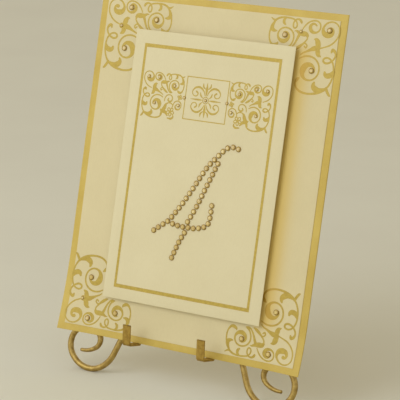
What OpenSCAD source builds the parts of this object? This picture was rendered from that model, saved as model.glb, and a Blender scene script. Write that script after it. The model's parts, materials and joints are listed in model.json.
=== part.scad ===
// Table number holder: a scroll-footed wire easel with a folding rear leg, and the layered
// number card that leans on it. The easel stands on two scroll feet and the toe of its rear leg.
// Millimetres, +Z up, front towards -Y. The origin is on the floor, at the middle of the outline.

/* [Number card] */
// Width of the gold backing board
card_w = 203.2; // [185:0.1:245]
// Height of the gold backing board
card_h = 254; // [230:0.5:305]
// Thickness of the gold backing board
board_t = 1.2; // [0.8:0.1:2]
// Thickness of the ivory panel
panel_t = 0.4; // [0.2:0.1:0.8]
// Gold border that shows at each side of the ivory panel
border_side = 5.5; // [2:0.5:12]
// Gold border that shows above and below the ivory panel
border_end = 5; // [2:0.5:12]

/* [Raised card] */
// Width of the raised card
raised_w = 132; // [120:1:160]
// Height of the raised card
raised_h = 198; // [190:1:200]
// Thickness of the raised card
raised_t = 0.4; // [0.2:0.1:0.8]
// Height of the raised card's lower edge above the board's lower edge
raised_rise = 29.8; // [28:0.1:40]
// Thickness of the foam mounting strips
foam_t = 3.2; // [1:0.1:5]
// Width of the foam mounting strips
foam_w = 12; // [6:1:20]
// Distance from the raised card's edge to the foam
foam_inset = 6; // [3:1:12]
// Space between two foam strips
foam_space = 2; // [1:0.5:5]

/* [Stones] */
// Diameter of the large stones
stone_d = 3.9; // [3:0.1:4.2]
// Diameter of the small stones
small_stone_d = 2.4; // [1.6:0.1:2.8]
// Spacing of the stones along the number's strokes
stone_pitch = 4.5; // [4.3:0.1:6]
// Height of a stone's straight rim, as a share of its diameter
stone_rim = 0.1; // [0.05:0.01:0.2]
// Height of a stone's crown, as a share of its diameter
stone_crown = 0.3; // [0.2:0.01:0.4]
// Width of a stone's flat top, as a share of its diameter
stone_table = 0.6; // [0.4:0.05:0.7]

/* [Easel wire] */
// Lean of the card and of the easel's front, backwards from upright, in degrees
lean = 14.65; // [10:0.05:20]
// Diameter of the wire of the legs
wire_d = 4.5; // [3.5:0.1:5.5]
// Distance between the two front legs, measured along the card's lower edge
leg_spread = 103; // [90:1:125]
// Splay of each front leg from upright, in degrees
leg_splay = 22; // [18:0.5:24]
// Length of straight leg below the card's lower edge, where the scroll starts
scroll_drop = 13.3; // [8:0.1:18]
// Height of the wires' top above the card's lower edge
neck_top = 160; // [150:1:195]
// Distance between the two neck wires, from axis to axis
neck_spacing = 12; // [11:0.5:15]
// Bend radius where a leg turns into the neck
neck_bend_r = 30; // [15:1:40]
// Diameter of the wire at its tapered tip
tip_d = 3; // [2:0.1:3.4]
// Length over which the wire tapers towards its tip
taper_l = 16; // [8:1:24]
// Depth of the flat worn under each foot
foot_flat = 0.3; // [0.1:0.05:0.5]

/* [Crossbar, rest plate and hooks] */
// Thickness of the flat strap that the hooks and the crossbar are cut from
strap_t = 1.5; // [1:0.1:2]
// Width of a card hook
hook_w = 6.35; // [5:0.05:10]
// Distance between the middles of the two card hooks
hook_spacing = 62.6; // [50:0.1:70]
// Place of the middle between the hooks, to the right of the easel's middle
hook_shift = -3.6; // [-4:0.1:4]
// Length of straight shelf in front of the card
shelf_l = 10.5; // [8:0.5:20]
// Height of the finger's tip above the card's lower edge
finger_top = 14.5; // [10:0.5:18]
// Outward lean of the finger from the card, in degrees
finger_flare = 10; // [0:1:15]
// Inside radius of the bend at the finger's root
finger_bend_r = 1.5; // [1:0.1:3]
// Inside radius of the bend behind the card
back_bend_r = 0.5; // [0.3:0.05:0.6]
// Width of the lower crossbar
crossbar_w = 10; // [8:0.5:14]
// Height of the crossbar's lower edge above the card's lower edge
crossbar_rise = 9; // [6:0.5:12]
// Width of the rest plate at the neck
plate_w = 24; // [21:0.5:30]
// Height of the rest plate
plate_h = 32; // [24:1:36]
// Corner radius of the rest plate
plate_corner_r = 4; // [2:0.5:8]
// Space between the card and what it leans or stands on
seat_gap = 0.2; // [0.1:0.05:0.4]

/* [Hinge and rear leg] */
// Distance on the floor from the scroll feet to the rear leg's toe
stance = 100; // [85:1:125]
// Bend radius of the rear leg's toe
toe_bend_r = 8; // [6:0.5:12]
// How far the toe turns up past level, in degrees
toe_lift = 12; // [5:1:30]
// Thickness of the hinge bracket's sheet
bracket_t = 1.5; // [1:0.1:2]
// Distance from the neck wires' top down to the hinge axis
hinge_drop = 18; // [16:0.5:22]
// Distance from the bracket's base to the hinge axis
hinge_offset = 5; // [4.8:0.1:6]
// Diameter of the hinge pin
pin_d = 3; // [2:0.1:3.6]
// Diameter of the pin's heads
pin_head_d = 5.4; // [4.5:0.1:6.5]
// Thickness of the pin's heads
pin_head_t = 1; // [0.6:0.1:1.5]
// Outside diameter of the barrel on the rear leg
barrel_d = 7; // [5.5:0.1:7.5]
// Length of the barrel
barrel_l = 10; // [8:0.5:12]
// Thickness of the stop heel
heel_t = 2; // [1.5:0.1:2.5]
// Width of the stop heel
heel_w = 6; // [4:0.5:8]
// Radial running clearance of the pin in the barrel
pin_clearance = 0.05; // [0.02:0.01:0.1]
// Space between the barrel and each ear
ear_gap = 0.3; // [0.2:0.05:0.5]
// Space between the barrel and what is welded on it
weld_gap = 0.05; // [0.02:0.01:0.1]
// Space between the stop heel and the bracket when the leg is open
stop_gap = 0.3; // [0.2:0.05:0.4]

/* [Hidden] */
$fn = 48;
// Sides of a wire, the largest step of a bend, and the rings that round off a tip
wire_sides = 16;
bend_step = 9;
TIP_ANGLES = [30, 60, 85];

// Scroll bends in order from the leg to the tip: radius and angle of each
SCROLL = [[24, 33], [20, 87], [14.5, 130], [13, 40], [7.5, 104], [20, 37]];

// Depths behind the front of the ivory panel
board_back = panel_t + board_t;
rest_front = board_back + seat_gap;
bar_front = rest_front + strap_t;
wire_front = bar_front + strap_t;
wire_depth = wire_front + wire_d / 2;
bracket_front = wire_front + wire_d;
bracket_back = bracket_front + bracket_t;
hinge_depth = bracket_back + hinge_offset;
raised_front = -foam_t - raised_t;

// Front legs, in the plane of the card: across, and up from the card's lower edge
neck_shift = neck_bend_r * (1 - cos(leg_splay));
splay_top_x = neck_spacing / 2 + neck_shift;
splay_top_z = (leg_spread / 2 - splay_top_x) / tan(leg_splay);
neck_l = neck_top - splay_top_z - neck_bend_r * sin(leg_splay);
splay_l = splay_top_z / cos(leg_splay) + scroll_drop;
scroll_turn = leg_splay + SCROLL[0][1];
scroll_low_z = SCROLL[0][0] * sin(leg_splay) - scroll_drop * cos(leg_splay)
    + (SCROLL[1][0] - SCROLL[0][0]) * sin(scroll_turn) - SCROLL[1][0];
FRONT_WIRE = concat([[neck_l, neck_bend_r, leg_splay], [splay_l, SCROLL[0][0], SCROLL[0][1]]],
    [for (i = [1:len(SCROLL) - 1]) [0, SCROLL[i][0], SCROLL[i][1]]]);
function leg_x(z) = leg_spread / 2 - z * tan(leg_splay);

// Places of the card's plane in the part's own frame, before the outline is centred
function tilt_y(depth, z) = z * sin(lean) + depth * cos(lean);
function tilt_z(depth, z) = z * cos(lean) - depth * sin(lean);
card_z = wire_d / 2 - foot_flat - tilt_z(wire_depth, scroll_low_z);
front_contact_y = tilt_y(wire_depth, scroll_low_z);
toe_y = front_contact_y + stance;
toe_z = toe_bend_r + wire_d / 2 - foot_flat;
hinge_z = neck_top - hinge_drop;
hinge_y = tilt_y(hinge_depth, hinge_z);
hinge_height = card_z + tilt_z(hinge_depth, hinge_z);

// Rear leg: a straight rod from the hinge, tangent to the toe's bend
rod_start = barrel_d / 2 + weld_gap;
toe_distance = norm([toe_y - hinge_y, hinge_height - toe_z]);
rear_tilt = atan((toe_y - hinge_y) / (hinge_height - toe_z)) - asin(toe_bend_r / toe_distance);
rear_rod_l = sqrt(toe_distance * toe_distance - toe_bend_r * toe_bend_r);
open_angle = lean + rear_tilt;

// Folded flat, the rod comes to rest on the lower edge of the crossbar
fold_reach = hinge_z - crossbar_rise;
fold_room = hinge_depth - wire_front - wire_d / 2 - ear_gap;
fold_angle = open_angle + atan(fold_room / fold_reach);

// The outline from the bends of the hooks to the toe is centred on the origin
shelf_top = -seat_gap;
finger_bend_z = shelf_top + finger_bend_r;
front_y = tilt_y(-shelf_l, finger_bend_z) - finger_bend_r - strap_t;
rear_y = toe_y + toe_bend_r * sin(toe_lift) + wire_d / 2;
card_y = -(front_y + rear_y) / 2;
echo(card_y = card_y, card_z = card_z, open_angle = open_angle, fold_angle = fold_angle);
echo(hinge = [0, card_y + hinge_y, hinge_height], toe_y = card_y + toe_y);
echo(foot_y = card_y + front_contact_y, front_y = card_y + front_y, rear_rod_l = rear_rod_l);

// Strokes of the number, as points across and up from the middle of the card's lower edge
LONG_STROKE = [[31.2, 151.1], [26.6, 151.9], [21.5, 150.2], [15.7, 144.2], [9.6, 137.4],
    [4.9, 130.3], [-1.4, 118.8], [-8.2, 107.3], [-13.4, 99.6], [-18.7, 92.6], [-22.5, 89.7],
    [-29.7, 84.2]];
CROSS_STROKE = [[-18.9, 92], [-10.3, 90.3], [-1.7, 90.1], [7, 90.9], [14.6, 95.2], [15.7, 108.4]];
DOWN_STROKE = [[16.2, 138.7], [9.6, 122.2], [3.4, 106.3], [-2.4, 94.2]];
TAIL_STROKE = [[-3.8, 86.1], [-7.5, 78.7], [-11.8, 66.7]];
// Smallest distance between the middles of two stones
stone_room = stone_d + 0.1;

// Large stones of a corner, as distances in from the board's side and end
SIDE_SCROLL = [23.5, 41.5];
END_SCROLL = [48, 18.5];
SMALL_SCROLL = [25.3, 11.2];
CORNER_SCROLL = [13.5, 12.3];
LEAF = [18.4, 25.2];
END_LEAF = [35.2, 15];
GEMMED_SCROLLS = [SIDE_SCROLL, END_SCROLL, SMALL_SCROLL];

// Sideways shift of each corner's pattern, towards the card's middle
TOP_LEFT_SHIFT = 1.1;
TOP_RIGHT_SHIFT = -0.5;
BOTTOM_LEFT_SHIFT = -1.8;
BOTTOM_RIGHT_SHIFT = 1.6;

// Header stones, as distances in from the outer top corner of the header
header_half_w = 54;
header_top = 198.3;
HEADER = [[4.6, 4], [13.5, 3.5], [27, 8.5], [11.7, 22.4], [32, 22.2]];

// Middle of the header, and middle height and half width of the square between its two scrolls
header_x = -0.9;
square_z = 182.2;
square_half = 17.8;

// ---- helpers ----

// Puts its children, drawn across, behind and up from the card's lower edge, where the card leans
module on_card_plane() {
    translate([0, card_y, card_z])
        rotate([-lean, 0, 0])
            children();
}

// The middle line of a bar that starts at the origin along +X and bends towards +Y, as places
// and headings. Each entry of bends is a straight length, then a bend radius and angle.
function bend_line(bends, p = [0, 0], h = 0, i = 0) = i == len(bends) ? [] : let (
    start = p + bends[i][0] * [cos(h), sin(h)],
    r = bends[i][1],
    turn = bends[i][2],
    middle = start + r * [-sin(h), cos(h)],
    n = ceil(turn / bend_step),
    bend = n == 0 ? [[start[0], start[1], h]] : [
        for (k = [bends[i][0] > 0 ? 0 : 1 : n])
            let (a = h + turn * k / n) [middle[0] + r * sin(a), middle[1] - r * cos(a), a]
    ],
    last = bend[len(bend) - 1]
) concat(bend, bend_line(bends, [last[0], last[1]], last[2], i + 1));
function bar_line(bends) = concat([[0, 0, 0]], bend_line(bends));

// Distance along a path at each of its points
function distances(path) = [
    for (i = 0, s = 0; i < len(path);
        i = i + 1,
        s = i < len(path) ? s + norm([path[i][0] - path[i - 1][0], path[i][1] - path[i - 1][1]]) : s) s
];

// Radius of the wire at each point of its middle line: it narrows evenly to end_d at its end,
// and the rings that round off the tip follow
function wire_radii(line, end_d) = let (s = distances(line), total = s[len(s) - 1]) concat(
    [for (d = s) end_d / 2 + (wire_d - end_d) / 2 * min(1, (total - d) / taper_l)],
    [for (a = TIP_ANGLES) end_d / 2 * cos(a)]);

// The line with the places of the rings that round off the tip
function rounded_line(line, end_d) = let (last = line[len(line) - 1]) concat(line, [
    for (a = TIP_ANGLES) [
        last[0] + end_d / 2 * sin(a) * cos(last[2]), last[1] + end_d / 2 * sin(a) * sin(last[2]), last[2]
    ]
]);

// Rings of a round wire, as [x, y, z] with the bends in the plane of x and y
function wire_rings(line, radii) = [
    for (i = [0:len(line) - 1], j = [0:wire_sides - 1])
        let (a = 360 * j / wire_sides, out = radii[i] * cos(a), h = line[i][2])
            [line[i][0] - out * sin(h), line[i][1] + out * cos(h), radii[i] * sin(a)]
];

// A round wire through rings of points, closed at both ends
module wire(points) {
    rings = len(points) / wire_sides;
    faces = concat(
        [for (i = [0:rings - 2], j = [0:wire_sides - 1])
            let (a = i * wire_sides, b = a + wire_sides, k = (j + 1) % wire_sides)
                [a + j, b + j, b + k, a + k]],
        [[for (j = [0:wire_sides - 1]) j]],
        [[for (j = [wire_sides - 1:-1:0]) (rings - 1) * wire_sides + j]]);
    polyhedron(points, faces, convexity = 8);
}

// Raises what would lie under the floor onto it, which makes the flats of the feet
function on_floor(p) = [p[0], p[1], max(p[2], 0)];

// A flat sheet across the card, from depth front to depth back
module sheet(w, z_low, z_high, front, back) {
    translate([-w / 2, front, z_low])
        cube([w, back - front, z_high - z_low]);
}

// The front leg on the +X side, from the neck's top down to the tip of its scroll
module scroll_leg() {
    line = bar_line(FRONT_WIRE);
    wire([
        for (p = wire_rings(rounded_line(line, tip_d), wire_radii(line, tip_d)))
            let (depth = wire_depth - p[2], z = neck_top - p[0])
                on_floor([neck_spacing / 2 + p[1], card_y + tilt_y(depth, z), card_z + tilt_z(depth, z)])
    ]);
}

// A hook bent from flat strap: tab behind the card, shelf under it and finger in front
module card_hook() {
    tab_top = crossbar_rise + crossbar_w;
    tab_l = tab_top - shelf_top - back_bend_r;
    back_mid_r = back_bend_r + strap_t / 2;
    front_mid_r = finger_bend_r + strap_t / 2;
    shelf_run = rest_front - back_bend_r + shelf_l;
    finger_l = (finger_top - finger_bend_z) / cos(finger_flare) - front_mid_r * tan(finger_flare);
    line = bar_line([[tab_l, back_mid_r, 90], [shelf_run, front_mid_r, 90 - finger_flare], [finger_l, 0, 0]]);
    function side(offset) = [for (p = line) [p[0] - offset * sin(p[2]), p[1] + offset * cos(p[2])]];
    front = side(strap_t / 2);
    back = side(-strap_t / 2);
    on_card_plane()
        translate([hook_w / 2, rest_front + strap_t / 2, tab_top])
            rotate([0, 0, 180])
                rotate([0, 90, 0])
                    linear_extrude(height = hook_w)
                        polygon(concat(front, [for (i = [len(back) - 1:-1:0]) back[i]]));
}

// A faceted stone's outer shape, standing on the card and facing the front
module stone(d) {
    rim_h = d * stone_rim;
    rotate([90, 0, 0]) {
        cylinder(h = rim_h, d = d);
        translate([0, 0, rim_h])
            cylinder(h = d * stone_crown, d1 = d, d2 = d * stone_table);
    }
}

// One stone at each place, on a surface at the given depth
module stones(places, d, depth) {
    on_card_plane()
        for (p = places)
            translate([p[0], depth, p[1]])
                stone(d);
}

// Places of a corner's stones: side is -1 at the left and 1 at the right, top is true above
function corner_places(insets, side, top, shift) = [
    for (p = insets) [side * (card_w / 2 - p[0] - shift), top ? card_h - p[1] : p[1]]
];

// Places of the header's stones: side is -1 at the left and 1 at the right
function header_places(side) = [
    for (p = HEADER) [header_x + side * (header_half_w - p[0]), header_top - p[1]]
];

// A smooth curve through points, as steps points to each stretch, ending on the last point
function between(a, b, c, d, t) = 0.5 * (2 * b + (c - a) * t
    + (2 * a - 5 * b + 4 * c - d) * t * t + (3 * b - a - 3 * c + d) * t * t * t);
function smooth(points, steps = 12) = let (n = len(points)) concat(
    [for (i = [0:n - 2], k = [0:steps - 1])
        between(points[max(i - 1, 0)], points[i], points[i + 1], points[min(i + 2, n - 1)], k / steps)],
    [points[n - 1]]);

// Places at an even spacing close to pitch along a smooth stroke
function along(points, pitch) = let (
    path = smooth(points),
    s = distances(path),
    total = s[len(s) - 1],
    n = round(total / pitch),
    xs = [for (i = [0:len(s) - 1]) [s[i], path[i][0]]],
    zs = [for (i = [0:len(s) - 1]) [s[i], path[i][1]]]
) [for (i = [0:n]) [lookup(total * i / n, xs), lookup(total * i / n, zs)]];

// The places in more that keep clear of every place in taken
function clear_of(more, taken) = [
    for (p = more) if (min([for (q = taken) norm(p - q)]) >= stone_room) p
];

// Stones of the whole number: where two strokes meet, the later stroke leaves its stone out
long_places = along(LONG_STROKE, stone_pitch);
cross_places = clear_of(along(CROSS_STROKE, stone_pitch), long_places);
down_places = clear_of(along(DOWN_STROKE, stone_pitch), concat(long_places, cross_places));
tail_places = clear_of(along(TAIL_STROKE, stone_pitch), cross_places);
number_places = concat(long_places, cross_places, down_places, tail_places);

// ---- easel front ----

module left_scroll_leg() {
    color("darkgoldenrod")
        mirror([1, 0, 0])
            scroll_leg();
}

module right_scroll_leg() {
    color("darkgoldenrod")
        scroll_leg();
}

module lower_crossbar() {
    bar_l = 2 * leg_x(crossbar_rise + crossbar_w) + wire_d;
    color("goldenrod")
        on_card_plane()
            sheet(bar_l, crossbar_rise, crossbar_rise + crossbar_w, bar_front, wire_front);
}

module rest_plate() {
    inner_w = plate_w - 2 * plate_corner_r;
    inner_h = plate_h - 2 * plate_corner_r;
    color("goldenrod")
        on_card_plane()
            translate([0, wire_front, neck_top - plate_h / 2])
                rotate([90, 0, 0])
                    linear_extrude(height = wire_front - rest_front) {
                        square([plate_w, inner_h], center = true);
                        square([inner_w, plate_h], center = true);
                        for (x = [-1, 1], z = [-1, 1])
                            translate([x * inner_w / 2, z * inner_h / 2])
                                circle(r = plate_corner_r);
                    }
}

module left_card_hook() {
    color("goldenrod")
        translate([hook_shift - hook_spacing / 2, 0, 0])
            card_hook();
}

module right_card_hook() {
    color("goldenrod")
        translate([hook_shift + hook_spacing / 2, 0, 0])
            card_hook();
}

// ---- hinge ----

// Metal round the pin's head in an ear, sheet beyond the neck wires at each side, and the
// distance from the wires' top down to the bracket
ear_margin = 1;
bracket_margin = 0.75;
bracket_drop = 3;
ear_x = barrel_l / 2 + ear_gap;
ear_r = pin_head_d / 2 + ear_margin;
bracket_w = neck_spacing + wire_d + 2 * bracket_margin;
bracket_h = 2 * (hinge_drop - bracket_drop);

module hinge_bracket() {
    color("goldenrod")
        on_card_plane()
            difference() {
                union() {
                    sheet(bracket_w, hinge_z - bracket_h / 2, hinge_z + bracket_h / 2,
                        bracket_front, bracket_back);
                    for (x = [-ear_x - bracket_t, ear_x]) {
                        translate([x, bracket_back, hinge_z - ear_r])
                            cube([bracket_t, hinge_offset, 2 * ear_r]);
                        translate([x, hinge_depth, hinge_z])
                            rotate([0, 90, 0])
                                cylinder(h = bracket_t, r = ear_r);
                    }
                }
                translate([0, hinge_depth, hinge_z])
                    rotate([0, 90, 0])
                        cylinder(h = 4 * ear_x, d = pin_d, center = true);
            }
}

module hinge_pin() {
    pin_l = 2 * (ear_x + bracket_t);
    color("gold")
        on_card_plane()
            translate([0, hinge_depth, hinge_z])
                rotate([0, 90, 0]) {
                    cylinder(h = pin_l, d = pin_d, center = true);
                    for (side = [-1, 1])
                        translate([0, 0, side * (pin_l + pin_head_t) / 2])
                            cylinder(h = pin_head_t, d = pin_head_d, center = true);
                }
}

// ---- rear leg ----

// Puts its children, with the rod along -Z, at the hinge in the open place
module on_rear_leg() {
    translate([0, card_y + hinge_y, hinge_height])
        rotate([rear_tilt, 0, 0])
            children();
}

module rear_leg_rod() {
    bends = [[rear_rod_l - rod_start, toe_bend_r, 90 - rear_tilt + toe_lift]];
    line = bar_line(bends);
    color("darkgoldenrod")
        wire([
            for (p = wire_rings(rounded_line(line, wire_d), wire_radii(line, wire_d)))
                let (reach = rod_start + p[0])
                    on_floor([p[2],
                        card_y + hinge_y + reach * sin(rear_tilt) + p[1] * cos(rear_tilt),
                        hinge_height - reach * cos(rear_tilt) + p[1] * sin(rear_tilt)])
        ]);
}

module rear_leg_barrel() {
    color("goldenrod")
        on_rear_leg()
            rotate([0, 90, 0])
                difference() {
                    cylinder(h = barrel_l, d = barrel_d, center = true);
                    cylinder(h = 2 * barrel_l, r = pin_d / 2 + pin_clearance, center = true);
                }
}

module rear_leg_stop_heel() {
    heel_l = hinge_offset / sin(open_angle);
    color("goldenrod")
        difference() {
            on_rear_leg()
                translate([-heel_w / 2, -heel_t / 2, rod_start])
                    cube([heel_w, heel_t, heel_l + heel_t]);
            on_card_plane()
                sheet(bracket_w, 0, 2 * neck_top, 0, bracket_back + stop_gap);
        }
}

// ---- card ----

module gold_backing_board() {
    color("gold")
        on_card_plane()
            sheet(card_w, 0, card_h, panel_t, board_back);
}

module ivory_panel() {
    color("ivory")
        on_card_plane()
            sheet(card_w - 2 * border_side, border_end, card_h - border_end, 0, panel_t);
}

module foam_strips() {
    low = raised_rise + foam_inset;
    high = raised_rise + raised_h - foam_inset;
    strip_w = raised_w - 2 * foam_inset;
    color("whitesmoke")
        on_card_plane() {
            sheet(strip_w, low, low + foam_w, -foam_t, 0);
            sheet(strip_w, high - foam_w, high, -foam_t, 0);
            for (side = [-1, 1])
                translate([side * (strip_w - foam_w) / 2, 0, 0])
                    sheet(foam_w, low + foam_w + foam_space, high - foam_w - foam_space, -foam_t, 0);
        }
}

module raised_card() {
    color("ivory")
        on_card_plane()
            sheet(raised_w, raised_rise, raised_rise + raised_h, raised_front, -foam_t);
}

// ---- stones ----

module number_stones() {
    color("tan")
        stones(number_places, stone_d, raised_front);
}

module left_header_stones() {
    color("tan")
        stones(header_places(-1), small_stone_d, raised_front);
}

module right_header_stones() {
    color("tan")
        stones(header_places(1), small_stone_d, raised_front);
}

module header_square_stones() {
    color("tan")
        stones([for (side = [-1:1]) [header_x + side * square_half, square_z]], small_stone_d, raised_front);
}

module top_left_corner_stones() {
    color("tan") {
        stones(corner_places(GEMMED_SCROLLS, -1, true, TOP_LEFT_SHIFT), stone_d, 0);
        stones(corner_places([LEAF], -1, true, TOP_LEFT_SHIFT), small_stone_d, 0);
    }
}

module top_right_corner_stones() {
    color("tan") {
        stones(corner_places([SIDE_SCROLL, END_SCROLL, CORNER_SCROLL], 1, true, TOP_RIGHT_SHIFT), stone_d, 0);
        stones(corner_places([END_LEAF], 1, true, 0), small_stone_d, 0);
    }
}

module bottom_left_corner_stones() {
    color("tan") {
        stones(corner_places(GEMMED_SCROLLS, -1, false, BOTTOM_LEFT_SHIFT), stone_d, 0);
        stones(corner_places([LEAF], -1, false, BOTTOM_LEFT_SHIFT), small_stone_d, 0);
    }
}

module bottom_right_corner_stones() {
    color("tan")
        stones(corner_places(GEMMED_SCROLLS, 1, false, BOTTOM_RIGHT_SHIFT), stone_d, 0);
}

left_scroll_leg();
right_scroll_leg();
lower_crossbar();
rest_plate();
left_card_hook();
right_card_hook();
hinge_bracket();
hinge_pin();
rear_leg_rod();
rear_leg_barrel();
rear_leg_stop_heel();
gold_backing_board();
ivory_panel();
foam_strips();
raised_card();
number_stones();
left_header_stones();
right_header_stones();
header_square_stones();
top_left_corner_stones();
top_right_corner_stones();
bottom_left_corner_stones();
bottom_right_corner_stones();
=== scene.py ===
"""Table number holder: a gold wire easel that holds a framed card with a number set in stones.

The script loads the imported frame, builds the visible pieces round it and gives every piece a
procedural finish. Lengths are in millimetres until a mesh is made, where they turn into metres.
"""

import json
import logging
import math
from dataclasses import dataclass, field
from enum import Enum
from typing import Iterable, Optional, Sequence

import bpy
import numpy as np
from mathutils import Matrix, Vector

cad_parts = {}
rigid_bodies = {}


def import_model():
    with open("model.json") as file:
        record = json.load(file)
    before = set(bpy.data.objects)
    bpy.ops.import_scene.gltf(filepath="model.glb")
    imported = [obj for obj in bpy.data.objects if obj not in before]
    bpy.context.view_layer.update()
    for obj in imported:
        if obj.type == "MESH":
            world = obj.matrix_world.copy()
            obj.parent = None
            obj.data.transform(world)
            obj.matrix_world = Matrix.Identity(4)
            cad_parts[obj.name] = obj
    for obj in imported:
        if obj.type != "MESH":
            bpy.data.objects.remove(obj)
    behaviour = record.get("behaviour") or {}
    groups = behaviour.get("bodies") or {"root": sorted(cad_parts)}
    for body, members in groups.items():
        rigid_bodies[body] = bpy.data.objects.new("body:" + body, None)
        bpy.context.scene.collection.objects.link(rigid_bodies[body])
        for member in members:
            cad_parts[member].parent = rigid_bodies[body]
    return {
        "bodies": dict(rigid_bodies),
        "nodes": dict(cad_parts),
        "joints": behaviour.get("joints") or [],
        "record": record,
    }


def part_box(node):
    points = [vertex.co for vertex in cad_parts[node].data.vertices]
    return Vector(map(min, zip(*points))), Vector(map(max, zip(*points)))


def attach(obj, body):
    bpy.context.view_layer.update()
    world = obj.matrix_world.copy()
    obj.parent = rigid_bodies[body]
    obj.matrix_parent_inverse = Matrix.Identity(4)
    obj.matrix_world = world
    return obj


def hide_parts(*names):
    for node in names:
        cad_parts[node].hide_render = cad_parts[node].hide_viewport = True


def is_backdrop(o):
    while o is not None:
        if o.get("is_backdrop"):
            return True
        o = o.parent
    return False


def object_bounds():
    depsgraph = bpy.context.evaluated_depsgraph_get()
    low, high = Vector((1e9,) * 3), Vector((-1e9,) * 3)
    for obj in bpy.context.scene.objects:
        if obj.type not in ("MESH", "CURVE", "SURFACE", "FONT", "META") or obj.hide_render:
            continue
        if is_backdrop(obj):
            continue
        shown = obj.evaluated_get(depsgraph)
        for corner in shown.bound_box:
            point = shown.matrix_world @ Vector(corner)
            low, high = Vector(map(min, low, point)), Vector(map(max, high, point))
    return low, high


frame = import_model()

MM = 0.001
LOG = logging.getLogger("table_number_holder")

# Name of the mesh value that sets how strongly a warm shadow is painted into paper and print beside
# the raised card
PAINTED_SHADOW = "painted_warm_shadow"
# Name of the mesh value that holds each stone facet's painted light and shade
PAINTED_FACET_LIGHT = "painted_facet_light"
CARD_HEIGHT = 254.0
INK_SUNK = 0.03
END_BORDER = 5.0
TINY = 1e-9

Pair = tuple[float, float]
Triple = tuple[float, float, float]
Noise = Triple
Colour = Sequence[float]
Stop = tuple[float, Colour]
Settings = Sequence[tuple[str, float]]
Socket = bpy.types.NodeSocket
Material = bpy.types.Material
Object = bpy.types.Object


class Body(str, Enum):
    """The bodies of the frame that a piece can ride on."""

    EASEL = "easel_frame"
    REAR_LEG = "rear_leg"
    CARD = "number_card"


class Slot(str, Enum):
    """The material slots of the record."""

    WIRE = "gold_wire"
    STRAP = "gold_strap"
    PIN = "brass_pin"
    BOARD = "gold_board"
    IVORY = "ivory_card"
    FOAM = "white_foam"
    CRYSTAL = "champagne_crystal"


class Smooth(float, Enum):
    """Largest angle between two faces, in degrees, that looks like one round surface."""

    FACET = 5
    PLATE = 35
    USUAL = 40
    WIRE = 50
    BEAD = 60


# --- Shapes ---


@dataclass
class Shape:
    """One or more closed forms, in millimetres.

    Args:
        points: corner points, one row of x, y, z each.
        faces: arrays of corner numbers, one row to a face, all faces of an array alike.
    """

    points: np.ndarray
    faces: list[np.ndarray] = field(default_factory=list)

    def mapped(self, points: np.ndarray) -> "Shape":
        """The same faces on other points."""
        return Shape(points, self.faces)

    def moved(self, x: float, y: float, z: float) -> "Shape":
        """The same form, shifted."""
        return self.mapped(self.points + [x, y, z])

    def flipped(self) -> "Shape":
        """The same form with every face turned over."""
        return Shape(self.points, [f[:, ::-1] for f in self.faces])


def join(shapes: Iterable[Shape]) -> Shape:
    """One shape from several.

    Args:
        shapes: the shapes, in any number.

    Returns:
        A shape with all their points and faces.
    """
    points, faces, start = [], [], 0
    for shape in shapes:
        points.append(shape.points)
        faces.extend(f + start for f in shape.faces)
        start += len(shape.points)
    return Shape(np.concatenate(points), faces)


def ring_faces(rings: int, sides: int) -> np.ndarray:
    """Faces between rings of points, each ring closed on itself.

    Args:
        rings: how many rings there are.
        sides: how many points a ring has.

    Returns:
        One row of four corners to a face.
    """
    i, j = np.meshgrid(np.arange(rings - 1), np.arange(sides), indexing="ij")
    k = (j + 1) % sides
    a = i * sides
    return np.stack([a + j, a + k, a + sides + k, a + sides + j], -1).reshape(-1, 4)


def fan_faces(first: int, sides: int, middle: int, turned: bool) -> np.ndarray:
    """Triangles from a ring to a point in its middle.

    Args:
        first: number of the ring's first point.
        sides: how many points the ring has.
        middle: number of the point in the middle.
        turned: True turns the triangles over.

    Returns:
        One row of three corners to a face.
    """
    j = np.arange(sides)
    a, b = first + j, first + (j + 1) % sides
    if turned:
        a, b = b, a
    return np.stack([a, b, np.full(sides, middle)], -1)


def tube_shape(rings: np.ndarray) -> Shape:
    """A closed form through rings of points, with a fan of triangles at both ends.

    Args:
        rings: array of rings, points and x, y, z.

    Returns:
        The closed form.
    """
    count, sides, _ = rings.shape
    middles = rings[[0, -1]].mean(1)
    points = np.concatenate([rings.reshape(-1, 3), middles])
    last = (count - 1) * sides
    return Shape(points, [
        ring_faces(count, sides),
        fan_faces(0, sides, count * sides, True),
        fan_faces(last, sides, count * sides + 1, False),
    ])


def loop_shape(rings: np.ndarray) -> Shape:
    """A closed form through rings of points whose last ring joins the first.

    Args:
        rings: array of rings, points and x, y, z.

    Returns:
        The closed form, with one hole through it.
    """
    count, sides, _ = rings.shape
    return Shape(rings.reshape(-1, 3), [ring_faces(count + 1, sides) % (count * sides)])


def turned_rings(profile: Sequence[Pair], sides: int) -> np.ndarray:
    """Rings about the X axis.

    Args:
        profile: places along the axis and distances from it.
        sides: how many points go round.

    Returns:
        Array of rings, points and x, y, z.
    """
    x, r = np.array(profile, float).T
    angle = np.arange(sides) * 2 * np.pi / sides
    return np.stack([
        np.broadcast_to(x[:, None], (len(x), sides)),
        r[:, None] * np.cos(angle),
        r[:, None] * np.sin(angle),
    ], -1)


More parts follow.
